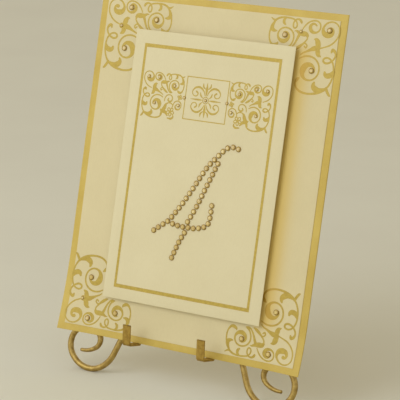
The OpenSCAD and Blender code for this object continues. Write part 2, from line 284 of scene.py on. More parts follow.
def bead_shape(path: np.ndarray, radius: float, closed: bool = False, ripple: float = 0.14,
               pitch: float = 0.95, nose: float = 1.5, blunt: float = 0.05,
               sides: int = 12) -> Shape:
    """A weld bead: a round ridge along a line, with the ripples of the cooling metal.

    The radius is r = radius * (1 + ripple * sin(2 pi s / pitch)) at the distance s along the line,
    and an open bead narrows to a round end. The line never runs along z.

    Args:
        path: points of the line.
        radius: mean radius of the ridge.
        closed: True where the line ends where it starts, without its first point repeated.
        ripple: height of the ripples as a share of the radius.
        pitch: length of a ripple.
        nose: length of the round end as a share of the radius.
        blunt: how much of that length is cut off the tip.
        sides: points round the ridge.

    Returns:
        The closed bead.
    """
    near = np.concatenate([path[-1:], path, path[:1]]) if closed else path
    slope = np.gradient(near, axis=0)
    slope = slope[1:-1] if closed else slope
    slope /= np.linalg.norm(slope, axis=1, keepdims=True)
    s = np.concatenate([[0], np.cumsum(np.linalg.norm(np.diff(path, axis=0), axis=1))])
    r = radius * (1 + ripple * np.sin(2 * np.pi * s / pitch))
    if not closed:
        to_end = np.minimum(s, s[-1] - s)
        r *= np.sqrt(1 - np.clip(1 - (to_end + blunt * radius) / (nose * radius), 0, 1) ** 2)
    side = np.cross(slope, [0.0, 0.0, 1.0])
    side /= np.linalg.norm(side, axis=1, keepdims=True)
    top = np.cross(slope, side)
    angle = np.arange(sides) * 2 * np.pi / sides
    rings = path[:, None] + r[:, None, None] * (
        np.cos(angle)[None, :, None] * side[:, None] + np.sin(angle)[None, :, None] * top[:, None])
    return loop_shape(rings) if closed else tube_shape(rings)


def straight(start: Sequence[float], end: Sequence[float], step: float = 0.2) -> np.ndarray:
    """Evenly spaced points from one place to another: start + (end - start) * t.

    Args:
        start, end: the first and the last point.
        step: greatest distance between neighbours.

    Returns:
        The points, one to a row.
    """
    a, b = np.asarray(start, float), np.asarray(end, float)
    count = max(3, int(np.linalg.norm(b - a) / step))
    return a + (b - a) * np.linspace(0, 1, count)[:, None]


def plate_shape(outline: np.ndarray, back: float, front: float, bevel: float, steps: int = 3,
                level: float = 1.5) -> Shape:
    """A flat plate with rounded-over edges, its outline in x and y and its thickness along z.

    The rim is a quarter circle at each side, drawn as rings that draw in towards the face. One
    more ring on the face keeps its shading level.

    Args:
        outline: the outline's points, going round against the clock seen from the front.
        back, front: z of its faces.
        bevel: radius of the rounded edge.
        steps: how many rings round one edge.
        level: how far in the last ring lies, as a share of the bevel.

    Returns:
        The closed plate.
    """
    towards = outline_normals(outline)
    angle = np.linspace(0, np.pi / 2, steps + 1)
    inset = np.append(bevel * (1 - np.cos(angle)), bevel * level)
    depth = np.append(bevel * (1 - np.sin(angle)), 0)
    inwards = np.concatenate([inset[::-1], inset])[:, None, None]
    height = np.concatenate([back + depth[::-1], front - depth])[:, None, None]
    xy = outline + towards * inwards
    return tube_shape(np.concatenate([xy, np.broadcast_to(height, (*xy.shape[:2], 1))], -1))


def slab_shape(left: float, right: float, low: float, high: float, back: float, front: float,
               edge: float, cell: float = 5.0) -> Shape:
    """A rectangular sheet whose faces are grids, so that it can bend, with rounded edges.

    The outermost rows of points lie a little lower than the face, on a quarter circle.

    Args:
        left, right: its sides.
        low, high: its lower and upper sides.
        back, front: places of its faces.
        edge: radius of the rounded edges.
        cell: size of the grid's cells.

    Returns:
        The closed sheet.
    """
    rim = edge * (1 - np.cos(np.radians([0, 35, 65, 90])))

    def lines(start: float, end: float) -> np.ndarray:
        """Places of the grid's lines in one direction, closer together at both edges."""
        inner = np.linspace(start + edge, end - edge, max(2, int((end - start) / cell)) + 1)
        return np.concatenate([start + rim[:-1], inner, end - rim[-2::-1]])

    us, vs = lines(left, right), lines(low, high)
    u, v = np.meshgrid(us, vs)
    away = np.minimum(np.minimum(u - left, right - u), np.minimum(v - low, high - v))
    reach = np.clip(1 - away / edge, 0, 1)
    drop = edge * (1 - np.sqrt(np.clip(1 - reach ** 2, 0, 1)))
    rows, columns = u.shape
    faces_front = np.stack([u, v, front - drop], -1).reshape(-1, 3)
    faces_back = np.stack([u, v, back + drop], -1).reshape(-1, 3)
    i, j = np.meshgrid(np.arange(rows - 1), np.arange(columns - 1), indexing="ij")
    a = (i * columns + j).ravel()
    face = np.stack([a, a + 1, a + columns + 1, a + columns], -1)
    around = np.concatenate([
        np.arange(columns), np.arange(1, rows) * columns + columns - 1,
        (rows - 1) * columns + np.arange(columns - 2, -1, -1),
        np.arange(rows - 2, 0, -1) * columns])
    following = np.roll(around, -1)
    total = rows * columns
    side = np.stack([around, around + total, following + total, following], -1)
    return Shape(np.concatenate([faces_front, faces_back]), [face, face[:, ::-1] + total, side])


def outline_normals(outline: np.ndarray) -> np.ndarray:
    """Directions that move every side of an outline inwards by one.

    Args:
        outline: points that go round against the clock.

    Returns:
        One direction to a point, longer at a corner so that both sides move evenly: twice the
        sum of the two sides' normals, over the square of its length.
    """
    sharpest = 0.2
    side = np.roll(outline, -1, 0) - outline
    side /= np.maximum(np.linalg.norm(side, axis=1, keepdims=True), TINY)
    normal = np.stack([-side[:, 1], side[:, 0]], -1)
    both = normal + np.roll(normal, 1, 0)
    return 2 * both / np.maximum((both ** 2).sum(1, keepdims=True), sharpest)


def rounded_rectangle(width: float, height: float, radius: float, steps: int = 4) -> np.ndarray:
    """A rectangle about the origin, with a quarter circle at each corner.

    Args:
        width: size across.
        height: size upwards.
        radius: radius of the corners.
        steps: how many stretches there are to a corner.

    Returns:
        The outline's points, against the clock.
    """
    angle = np.linspace(0, np.pi / 2, steps + 1)
    arc = np.stack([np.cos(angle), np.sin(angle)], -1) * radius
    turns = []
    for quarter, (sx, sy) in enumerate(((1, 1), (-1, 1), (-1, -1), (1, -1))):
        c, s = math.cos(quarter * math.pi / 2), math.sin(quarter * math.pi / 2)
        corner = np.array([sx * (width / 2 - radius), sy * (height / 2 - radius)])
        turns.append(corner + arc @ np.array([[c, s], [-s, c]]))
    return np.concatenate(turns)


def smooth_line(points: Sequence[Sequence[float]], steps: int) -> np.ndarray:
    """A smooth curve through points: a cubic between each two, steered by their neighbours.

    Args:
        points: the points that the curve goes through, with any number of values each.
        steps: how many points there are to each stretch.

    Returns:
        The curve's points, the last given point included.
    """
    p = np.array(points, float)
    n = len(p)
    t = (np.arange(steps) / steps)[None, :, None]
    index = np.arange(n - 1)
    a, b = p[np.maximum(index - 1, 0)][:, None], p[index][:, None]
    c, d = p[index + 1][:, None], p[np.minimum(index + 2, n - 1)][:, None]
    curve = 0.5 * (2 * b + (c - a) * t + (2 * a - 5 * b + 4 * c - d) * t ** 2
                   + (3 * b - a - 3 * c + d) * t ** 3)
    return np.concatenate([curve.reshape(-1, p.shape[1]), p[-1:]])


@dataclass(frozen=True)
class CardPlane:
    """The leaning plane of the card: u across, v up along the card and w out towards the viewer.

    Args:
        lean: how far the card leans back, in degrees.
        y: place of the card's lower front edge along the part's Y.
        z: height of that edge.
    """

    y: float
    z: float
    lean: float = 14.65

    @classmethod
    def from_panel(cls) -> "CardPlane":
        """The plane of the frame's ivory panel.

        The panel's front lower edge is its lowest in y and its upper front edge its highest in z,
        so a step back along the border gives the card's own lower edge.

        Returns:
            The plane.
        """
        low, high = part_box("ivory_panel")
        lean = math.radians(cls.lean)
        return cls(low[1] / MM - END_BORDER * math.sin(lean),
                   high[2] / MM - (CARD_HEIGHT - END_BORDER) * math.cos(lean))

    def place(self, uvw: np.ndarray) -> np.ndarray:
        """Points of the part's frame: a turn about X by the lean, and a shift.

        Args:
            uvw: any number of u, v and w, along the last axis.

        Returns:
            The points' x, y and z, along the last axis.
        """
        s, c = math.sin(math.radians(self.lean)), math.cos(math.radians(self.lean))
        u, v, w = np.moveaxis(uvw, -1, 0)
        return np.stack([u, self.y + v * s - w * c, self.z + v * c + w * s], -1)

    def find(self, xyz: np.ndarray) -> np.ndarray:
        """Places on the card's plane: the same turn and shift, undone.

        Args:
            xyz: any number of x, y and z, along the last axis.

        Returns:
            Their u, v and w, along the last axis.
        """
        s, c = math.sin(math.radians(self.lean)), math.cos(math.radians(self.lean))
        x, y, z = np.moveaxis(xyz - np.array([0, self.y, self.z]), -1, 0)
        return np.stack([x, y * s + z * c, z * s - y * c], -1)

    def lay(self, shape: Shape) -> Shape:
        """A shape drawn in u, v and w, put in its place."""
        return shape.mapped(self.place(shape.points))


CARD_PLANE = CardPlane.from_panel()


# --- Finishes ---


class NodeGraph:
    """A material's node tree, built a node at a time."""

    def __init__(self, name: str) -> None:
        """Starts a material with one Principled shader.

        Args:
            name: name of the material.
        """
        self.material = bpy.data.materials.new(name)
        self.material.use_nodes = True
        self.tree = self.material.node_tree
        self.tree.nodes.clear()
        self.output = self.tree.nodes.new("ShaderNodeOutputMaterial")
        self.shader = self.tree.nodes.new("ShaderNodeBsdfPrincipled")
        self.link(self.shader.outputs["BSDF"], self.output.inputs["Surface"])
        self.coordinates = self.tree.nodes.new("ShaderNodeTexCoord").outputs["Object"]

    def link(self, output: Socket, socket: Socket) -> None:
        """Joins an output to an input."""
        self.tree.links.new(output, socket)

    def _node(self, kind: str, **values: float | Sequence[float]) -> bpy.types.Node:
        """A new node of the tree.

        Args:
            kind: its kind, without the first word of the type's name.
            values: values of its sockets, with _ for a space in the name.

        Returns:
            The node.
        """
        node = self.tree.nodes.new(f"ShaderNode{kind}")
        for name, value in values.items():
            node.inputs[name.replace("_", " ")].default_value = value
        return node

    def noise(self, scale: float, detail: float = 4, roughness: float = 0.5,
              coordinates: Optional[Socket] = None) -> Socket:
        """Cloudy noise.

        Args:
            scale: how many features there are to a metre.
            detail: how many finer layers are added.
            roughness: how strong the finer layers are.
            coordinates: where the noise is read, or None for the object's own.

        Returns:
            The noise as a value from 0 to 1.
        """
        node = self._node("TexNoise", Scale=scale, Detail=detail, Roughness=roughness)
        self.link(coordinates or self.coordinates, node.inputs["Vector"])
        return node.outputs["Fac"]

    def cells(self, scale: float) -> Socket:
        """Distance from the middles of random cells.

        Args:
            scale: how many cells there are to a metre.

        Returns:
            The distance.
        """
        node = self._node("TexVoronoi", Scale=scale)
        self.link(self.coordinates, node.inputs["Vector"])
        return node.outputs["Distance"]

    def stretched(self, scale: Sequence[float]) -> Socket:
        """The object's coordinates, scaled along each axis.

        Args:
            scale: the scale along x, y and z.

        Returns:
            The coordinates.
        """
        node = self._node("Mapping", Scale=scale)
        self.link(self.coordinates, node.inputs["Vector"])
        return node.outputs["Vector"]

    def attribute(self, name: str) -> Socket:
        """The value that the mesh stores under a name.

        Args:
            name: name of the mesh's attribute.

        Returns:
            The value.
        """
        node = self._node("Attribute")
        node.attribute_name = name
        return node.outputs["Fac"]

    def ramp(self, value: Socket, stops: Sequence[Stop]) -> Socket:
        """Colours along a value.

        Args:
            value: the value that picks the colour.
            stops: places from 0 to 1 with their colours.

        Returns:
            The colour.
        """
        node = self._node("ValToRGB")
        elements = node.color_ramp.elements
        while len(elements) < len(stops):
            elements.new(1)
        for element, (place, colour) in zip(elements, stops):
            element.position = place
            element.color = (*colour, 1)
        self.link(value, node.inputs["Fac"])
        return node.outputs["Color"]

    def spread(self, value: Socket, low: float, high: float) -> Socket:
        """A noise moved onto another stretch of values.

        Nearly all of a noise lies between 0.3 and 0.7, so these two become low and high.

        Args:
            value: the noise.
            low, high: values for the noise's low and high end.

        Returns:
            The moved value.
        """
        node = self._node("MapRange", From_Min=0.3, From_Max=0.7, To_Min=low, To_Max=high)
        self.link(value, node.inputs["Value"])
        return node.outputs["Result"]

    def math(self, operation: str, a: Socket, b: Socket | float) -> Socket:
        """One operation of two values.

        Args:
            operation: what is done with them, in the node's own word.
            a, b: the two values.

        Returns:
            The outcome.
        """
        node = self._node("Math")
        node.operation = operation
        self.link(a, node.inputs[0])
        if isinstance(b, (int, float)):
            node.inputs[1].default_value = b
        else:
            self.link(b, node.inputs[1])
        return node.outputs["Value"]

    def weighed(self, a: Socket, b: Socket, share: float) -> Socket:
        """Two values added up: a * (1 - share) + b * share."""
        return self.math("ADD", self.math("MULTIPLY", a, 1 - share),
                         self.math("MULTIPLY", b, share))

    def mix(self, share: Socket, a: Socket | Colour, b: Socket | Colour) -> Socket:
        """A mix of two colours.

        Args:
            share: 0 for all of the first and 1 for all of the second.
            a, b: the two colours.

        Returns:
            The colour.
        """
        node = self._node("Mix")
        node.data_type = "RGBA"
        self.link(share, node.inputs["Factor"])
        for name, colour in (("A", a), ("B", b)):
            socket = [s for s in node.inputs if s.name == name and s.type == "RGBA"][0]
            if isinstance(colour, Socket):
                self.link(colour, socket)
            else:
                socket.default_value = (*colour, 1)
        return [s for s in node.outputs if s.type == "RGBA"][0]

    def bump(self, height: Socket, depth: float, strength: float) -> None:
        """Makes a height raise the surface.

        Args:
            height: the height, from 0 to 1.
            depth: how deep the whole height is, in metres.
            strength: how much of it shows.
        """
        node = self._node("Bump", Distance=depth, Strength=strength)
        self.link(height, node.inputs["Height"])
        self.link(node.outputs["Normal"], self.shader.inputs["Normal"])

    def paint(self, colour: Socket, roughness: Optional[Socket] = None,
              **constants: float | Sequence[float]) -> Material:
        """Gives the shader its colour and values.

        Args:
            colour: the base colour.
            roughness: the roughness, where it varies.
            constants: other values of the shader, with _ for a space in the name.

        Returns:
            The material.
        """
        self.link(colour, self.shader.inputs["Base Color"])
        if roughness is not None:
            self.link(roughness, self.shader.inputs["Roughness"])
        for name, value in constants.items():
            self.shader.inputs[name.replace("_", " ")].default_value = value
        return self.material


@dataclass(frozen=True)
class GrainedFinish:
    """A finish of broad clouds of tone with a fine grain in them.

    Args:
        name: name of the material.
        colours: places and colours of its tones.
        grain: scale, detail and roughness of the fine grain.
        roughness: lowest and highest roughness, which follow the grain.
        bump: depth in metres and strength of what the grain raises.
        clouds: scale, detail and roughness of the clouds, or None without them.
        share: share of the grain in the tone.
        run: scale along x, y and z that draws the grain out, or None.
        whole_bump: True where clouds and grain raise the surface together.
        painted_shadow_colour: colour of the warm shadow painted beside the raised card where it is
            full, or None without one.
        shine: names and values of the shader's other settings.
    """

    name: str
    colours: Sequence[Stop]
    grain: Noise
    roughness: Pair
    bump: Pair
    clouds: Optional[Noise] = None
    share: float = 0.5
    run: Optional[Sequence[float]] = None
    whole_bump: bool = False
    painted_shadow_colour: Optional[Colour] = None
    shine: Settings = ()

    def build(self) -> Material:
        """Clouds and grain pick the colour, a painted warm shadow darkens it where the mesh holds
        one, and the grain raises the surface.

        Returns:
            The material.
        """
        g = NodeGraph(self.name)
        grain = g.noise(*self.grain, g.stretched(self.run) if self.run else None)
        tone = g.weighed(g.noise(*self.clouds), grain, self.share) if self.clouds else grain
        colour = g.ramp(tone, self.colours)
        if self.painted_shadow_colour is not None:
            # Painted shadow: the colour turns darker and warmer beside the raised card, by the
            # mesh's painted shadow value
            colour = g.mix(g.attribute(PAINTED_SHADOW), colour, self.painted_shadow_colour)
        g.bump(tone if self.whole_bump else grain, *self.bump)
        return g.paint(colour, g.spread(grain, *self.roughness), **dict(self.shine))


@dataclass(frozen=True)
class AntiqueGold(GrainedFinish):
    """Satin gold paint on metal, mottled brown where it is thin and paler where it is rubbed."""

    name: str = "antique_gold"
    colours: Sequence[Stop] = ((0.34, (0.20, 0.122, 0.028)), (0.48, (0.385, 0.257, 0.066)),
                               (0.66, (0.53, 0.39, 0.12)))
    clouds: Noise = (260, 5, 0.6)
    grain: Noise = (2340, 3, 0.6)
    share: float = 0.38
    roughness: Pair = (0.33, 0.48)
    bump: Pair = (0.00025, 0.35)
    whole_bump: bool = True
    shine: Settings = (("Metallic", 0.72),)


@dataclass(frozen=True)
class StrapGold(AntiqueGold):
    """The same paint on flat strap, duller and with a finer grain."""

    name: str = "antique_gold_strap"
    colours: Sequence[Stop] = ((0.34, (0.205, 0.118, 0.022)), (0.48, (0.385, 0.245, 0.045)),
                               (0.66, (0.50, 0.34, 0.075)))
    clouds: Noise = (330, 5, 0.6)
    grain: Noise = (2970, 3, 0.6)
    roughness: Pair = (0.42, 0.62)


@dataclass(frozen=True)
class WeldGold(AntiqueGold):
    """The same paint over the weld beads, darker in their ripples."""

    name: str = "antique_gold_weld"
    colours: Sequence[Stop] = ((0.34, (0.17, 0.10, 0.02)), (0.48, (0.33, 0.21, 0.05)),
                               (0.66, (0.50, 0.35, 0.10)))
    clouds: Noise = (700, 5, 0.6)
    grain: Noise = (6300, 3, 0.6)
    roughness: Pair = (0.42, 0.62)


@dataclass(frozen=True)
class PearlBoard(GrainedFinish):
    """Gold pearlescent card stock: a soft sheen with fine glitter in the paper."""

    name: str = "pearl_gold_board"
    colours: Sequence[Stop] = ((0.38, (0.58, 0.42, 0.078)), (0.62, (0.68, 0.52, 0.125)))
    clouds: Noise = (45, 4, 0.6)
    grain: Noise = (2600, 2, 0.7)
    roughness: Pair = (0.44, 0.64)
    bump: Pair = (0.00006, 0.4)
    shine: Settings = (("Metallic", 0.08),)


@dataclass(frozen=True)
class IvoryPaper(GrainedFinish):
    """Ivory card stock: drifting tone and a faint felt of short fibres, with a warm shadow painted
    beside the raised card.
    """

    name: str = "ivory_panel_paper"
    colours: Sequence[Stop] = ((0.36, (0.735, 0.65, 0.39)), (0.64, (0.785, 0.70, 0.435)))
    clouds: Noise = (22, 5, 0.55)
    grain: Noise = (900, 4, 0.65)
    share: float = 0.4
    run: Sequence[float] = (1.0, 0.35, 0.35)
    roughness: Pair = (0.52, 0.66)
    bump: Pair = (0.00008, 0.5)
    # Colour of the painted warm shadow beside the raised card
    painted_shadow_colour: Optional[Colour] = (0.74, 0.535, 0.12)
    shine: Settings = (("Sheen Weight", 0.05),)


@dataclass(frozen=True)
class RaisedPaper(IvoryPaper):
    """The raised card's paler ivory stock, which has no painted warm shadow on it."""

    name: str = "ivory_raised_paper"
    colours: Sequence[Stop] = ((0.36, (0.775, 0.705, 0.455)), (0.64, (0.82, 0.755, 0.505)))
    painted_shadow_colour: Optional[Colour] = None


@dataclass(frozen=True)
class GoldPrint(GrainedFinish):
    """Gold ink printed on the card, a little uneven and paler where it is thin, with a warm shadow
    painted on it beside the raised card.
    """

    name: str = "gold_print"
    colours: Sequence[Stop] = ((0.36, (0.435, 0.303, 0.036)), (0.66, (0.545, 0.405, 0.067)))
    grain: Noise = (520, 4, 0.65)
    roughness: Pair = (0.38, 0.52)
    bump: Pair = (0.00003, 0.5)
    # Colour of the painted warm shadow on the print beside the raised card
    painted_shadow_colour: Optional[Colour] = (0.52, 0.32, 0.038)
    shine: Settings = (("Metallic", 0.2),)


@dataclass(frozen=True)
class PolishedBrass(GrainedFinish):
    """Turned brass: bands across the turning axis are the fine rings from the lathe."""

    name: str = "turned_brass"
    colours: Sequence[Stop] = ((0.3, (0.42, 0.27, 0.07)), (0.7, (0.66, 0.47, 0.16)))
    grain: Noise = (1, 3, 0.6)
    run: Sequence[float] = (4200, 60, 60)
    roughness: Pair = (0.2, 0.36)
    bump: Pair = (0.00004, 0.4)
    shine: Settings = (("Metallic", 1.0),)


@dataclass(frozen=True)
class ChampagneCrystal:
    """Foil-backed cut crystal: every facet has its own painted tone, from brown to pale champagne,
    which stands in for the light and shade a cut stone throws back.

    Args:
        name: name of the material.
        colours: places and colours of its tones.
        clouds: scale, detail and roughness of the faint clouds inside the stones.
        share: share of the clouds in the tone.
        shine: names and values of the shader's other settings.
    """

    name: str = "champagne_crystal_facets"
    colours: Sequence[Stop] = ((0.12, (0.22, 0.122, 0.02)), (0.5, (0.625, 0.445, 0.113)),
                               (0.86, (0.80, 0.645, 0.235)))
    clouds: Noise = (1400, 2, 0.5)
    share: float = 0.2
    shine: Settings = (
        ("Metallic", 0.0), ("Roughness", 0.16), ("Coat Weight", 0.6), ("Coat Roughness", 0.03))

    def build(self) -> Material:
        """The facet's painted light and shade and faint clouds pick the colour under a clear coat.

        Returns:
            The material.
        """
        g = NodeGraph(self.name)
        tone = g.weighed(g.attribute(PAINTED_FACET_LIGHT), g.noise(*self.clouds), self.share)
        return g.paint(g.ramp(tone, self.colours), None, **dict(self.shine))


@dataclass(frozen=True)
class CloudedFinish:
    """A finish whose colour drifts between two tones, with one roughness all over.

    Args:
        name: name of the material.
        colours: places and colours of its tones.
        clouds: scale, detail and roughness of the clouds.
        shine: names and values of the shader's other settings.
    """

    name: str
    colours: Sequence[Stop]
    clouds: Noise
    shine: Settings

    def build(self) -> Material:
        """Clouds pick the colour.

        Returns:
            The material.
        """
        g = NodeGraph(self.name)
        return g.paint(g.ramp(g.noise(*self.clouds), self.colours), None, **dict(self.shine))


@dataclass(frozen=True)
class BrownFoil(CloudedFinish):
    """The dark gold backing round the girdle of a stone, unevenly tarnished."""

    name: str = "stone_backing"
    colours: Sequence[Stop] = ((0.3, (0.235, 0.13, 0.021)), (0.7, (0.41, 0.25, 0.048)))
    clouds: Noise = (1100, 3, 0.6)
    shine: Settings = (("Metallic", 0.3), ("Roughness", 0.35))


@dataclass(frozen=True)
class PaleGround(CloudedFinish):
    """The plain matt ground that the object stands on, of a barely uneven tone."""

    name: str = "pale_ground"
    colours: Sequence[Stop] = ((0.3, (0.76, 0.76, 0.685)), (0.7, (0.79, 0.795, 0.715)))
    clouds: Noise = (6, 3, 0.5)
    shine: Settings = (("Roughness", 0.9),)


@dataclass(frozen=True)
class WhiteFoam:
    """Dense white mounting foam with small open cells.

    Args:
        name: name of the material.
        colours: places and colours, from the cells' middles to the walls between them.
        cells: how many cells there are to a metre.
        bump: depth of the cells in metres, and how much of it shows.
        roughness: the roughness.
    """

    name: str = "mounting_foam"
    colours: Sequence[Stop] = ((0.05, (0.86, 0.85, 0.82)), (0.6, (0.62, 0.61, 0.58)))
    cells: float = 1500
    bump: Pair = (0.0003, 0.6)
    roughness: float = 0.85

    def build(self) -> Material:
        """The distance from each cell's middle picks the colour and pits the surface.

        Returns:
            The material.
        """
        g = NodeGraph(self.name)
        cells = g.cells(self.cells)
        g.bump(cells, *self.bump)
        return g.paint(g.ramp(cells, self.colours), None, Roughness=self.roughness)


class Finishes:
    """Every finish of the object, each built once."""

    def __init__(self) -> None:
        """Builds the materials."""
        self.gold = AntiqueGold().build()
        self.strap = StrapGold().build()
        self.weld = WeldGold().build()
        self.board = PearlBoard().build()
        self.panel = IvoryPaper().build()
        self.card = RaisedPaper().build()
        self.print = GoldPrint().build()
        self.crystal = ChampagneCrystal().build()
        self.backing = BrownFoil().build()
        self.brass = PolishedBrass().build()
        self.foam = WhiteFoam().build()
        self.ground = PaleGround().build()


# --- Pieces ---


@dataclass(frozen=True)
class Piece:
    """A finished mesh of the object.

    Args:
        name: name of the piece.
        body: the body that it rides on.
        slot: the record's slot for its finish; not used.
        material: its finish.
        replaces: the CAD nodes that it stands for.
        smooth: up to which angle its faces look like one round surface.
    """

    name: str
    body: Body
    slot: Slot
    material: Material
    replaces: tuple[str, ...] = ()
    smooth: Smooth = Smooth.USUAL

    def make(self, shape: Shape, tone: Optional[np.ndarray] = None,
             shade: Optional[np.ndarray] = None) -> Object:
        """Makes the mesh object at the origin and hands it to the frame.

        Args:
            shape: the form in millimetres.
            tone: a value for each face, stored as its painted facet light and shade.
            shade: a value for each point, stored as the strength of its painted warm shadow.

        Returns:
            The object.
        """
        mesh = bpy.data.meshes.new(self.name)
        corners = np.concatenate([f.ravel() for f in shape.faces]).astype(np.int32)
        sizes = np.concatenate([np.full(len(f), f.shape[1], np.int32) for f in shape.faces])
        starts = np.concatenate([[0], np.cumsum(sizes)[:-1]]).astype(np.int32)
        mesh.vertices.add(len(shape.points))
        mesh.vertices.foreach_set("co", (shape.points * MM).astype(np.float32).ravel())
        mesh.loops.add(len(corners))
        mesh.loops.foreach_set("vertex_index", corners)
        mesh.polygons.add(len(sizes))
        mesh.polygons.foreach_set("loop_start", starts)
        mesh.polygons.foreach_set("use_smooth", np.ones(len(sizes), bool))
        mesh.update(calc_edges=True)
        mesh.validate()
        mesh.set_sharp_from_angle(angle=math.radians(self.smooth))
        for name, domain, values in ((PAINTED_FACET_LIGHT, "FACE", tone), (PAINTED_SHADOW, "POINT", shade)):
            if values is not None:
                attribute = mesh.attributes.new(name, "FLOAT", domain)
                attribute.data.foreach_set("value", values.astype(np.float32))
        mesh.materials.append(self.material)
        made = bpy.data.objects.new(self.name, mesh)
        bpy.context.scene.collection.objects.link(made)
        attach(made, self.body.value)
        if self.replaces:
            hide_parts(*self.replaces)
        LOG.info("%s: %d faces", self.name, len(sizes))
        return made


# --- Easel ---


@dataclass(frozen=True)
class WirePath:
    """A wire's middle line in one plane, as straight lengths and bends.

    Args:
        bends: straight length, bend radius and bend angle of each stretch, in order.
        wire, tip, taper: diameter of the wire and of its end, length over which it narrows.
        sides: points round the wire.
        step: largest angle of one step of a bend, in degrees.
        stride: length of one step of a straight length, at most.
        bluntness: how far the rounded end reaches, as a share of half the tip.
    """

    bends: Sequence[Triple]
    wire: float = 4.5
    tip: float = 3.0
    taper: float = 16.0
    sides: int = 32
    step: float = 3.0
    stride: float = 4.0
    bluntness: float = 0.7

    def line(self) -> np.ndarray:
        """The middle line: each length is a straight run and each bend an arc about its middle.

        Returns:
            Rows of place along x, place along y and heading.
        """
        rows, p, heading = [np.zeros((1, 3))], np.zeros(2), 0.0
        for length, radius, turn in self.bends:
            start = p + length * np.array([math.cos(heading), math.sin(heading)])
            if length > 0:
                pieces = max(2, int(length / self.stride))
                share = np.arange(1, pieces + 1)[:, None] / pieces
                rows.append(np.c_[p + (start - p) * share, np.full(pieces, heading)])
            middle = start + radius * np.array([-math.sin(heading), math.cos(heading)])
            count = max(1, math.ceil(turn / self.step))
            a = heading + math.radians(turn) * np.arange(1, count + 1) / count
            rows.append(np.stack([
                middle[0] + radius * np.sin(a), middle[1] - radius * np.cos(a), a], -1))
            p, heading = rows[-1][-1, :2], rows[-1][-1, 2]
        return np.concatenate(rows)

    def rings(self) -> np.ndarray:
        """Circles square to the line, narrowing evenly to the tip and closed by a round end.

        Returns:
            Rings of x, y and z, where z leaves the plane of the bends.
        """
        line = self.line()
        steps = np.linalg.norm(np.diff(line[:, :2], axis=0), axis=1)
        to_end = steps.sum() - np.concatenate([[0], np.cumsum(steps)])
        radius = self.tip / 2 + (self.wire - self.tip) / 2 * np.clip(to_end / self.taper, 0, 1)
        cap = np.radians([15, 30, 45, 60, 72, 82])
        last = line[-1]
        reach = self.tip / 2 * np.sin(cap) * self.bluntness
        tips = np.stack([last[0] + reach * math.cos(last[2]), last[1] + reach * math.sin(last[2]),
                         np.full(len(cap), last[2])], -1)
        line = np.concatenate([line, tips])
        radius = np.concatenate([radius, self.tip / 2 * np.cos(cap)])
        angle = np.arange(self.sides) * 2 * np.pi / self.sides
        out = radius[:, None] * np.cos(angle)
        return np.stack([
            line[:, :1] - out * np.sin(line[:, 2:]),
            line[:, 1:2] + out * np.cos(line[:, 2:]),
            radius[:, None] * np.sin(angle),
        ], -1)


@dataclass
class ScrollLegs:
    """The two front legs: one wire each, from the neck down to the curl of the foot.

    Args:
        neck_top, neck_spacing: height of the wires' upper ends and distance between them.
        wire_depth: how far the wires' middle lies behind the card's front.
        tip, taper: diameter at the curl's tip and length over which the wire narrows to it.
        bends: straight lengths and bends from the neck's top to the tip of the curl.
    """

    neck_top: float = 160.0
    neck_spacing: float = 12.0
    wire_depth: float = 7.05
    tip: float = 2.6
    taper: float = 24.0
    bends: Sequence[Triple] = (
        (41.5521, 30, 22), (128.903, 24, 33), (0, 20, 87), (0, 14.5, 130), (0, 13, 40),
        (0, 7.5, 104), (0, 20, 37))

    def build(self, finishes: Finishes) -> None:
        """Builds and dresses both legs, as mirror images that stand on the ground.

        Args:
            finishes: the materials.
        """
        rings = WirePath(self.bends, tip=self.tip, taper=self.taper).rings()
        x, y, z = np.moveaxis(rings, -1, 0)
        for side, name, node in ((-1, "left_leg_wire", "left_scroll_leg"),
                                 (1, "right_leg_wire", "right_scroll_leg")):
            u = side * (self.neck_spacing / 2 + y)
            placed = CARD_PLANE.place(np.stack([u, self.neck_top - x, z - self.wire_depth], -1))
            placed[..., 2] = np.maximum(placed[..., 2], 0)
            shape = tube_shape(placed)
            Piece(name, Body.EASEL, Slot.WIRE, finishes.gold, (node,), Smooth.WIRE).make(
                shape if side > 0 else shape.flipped())


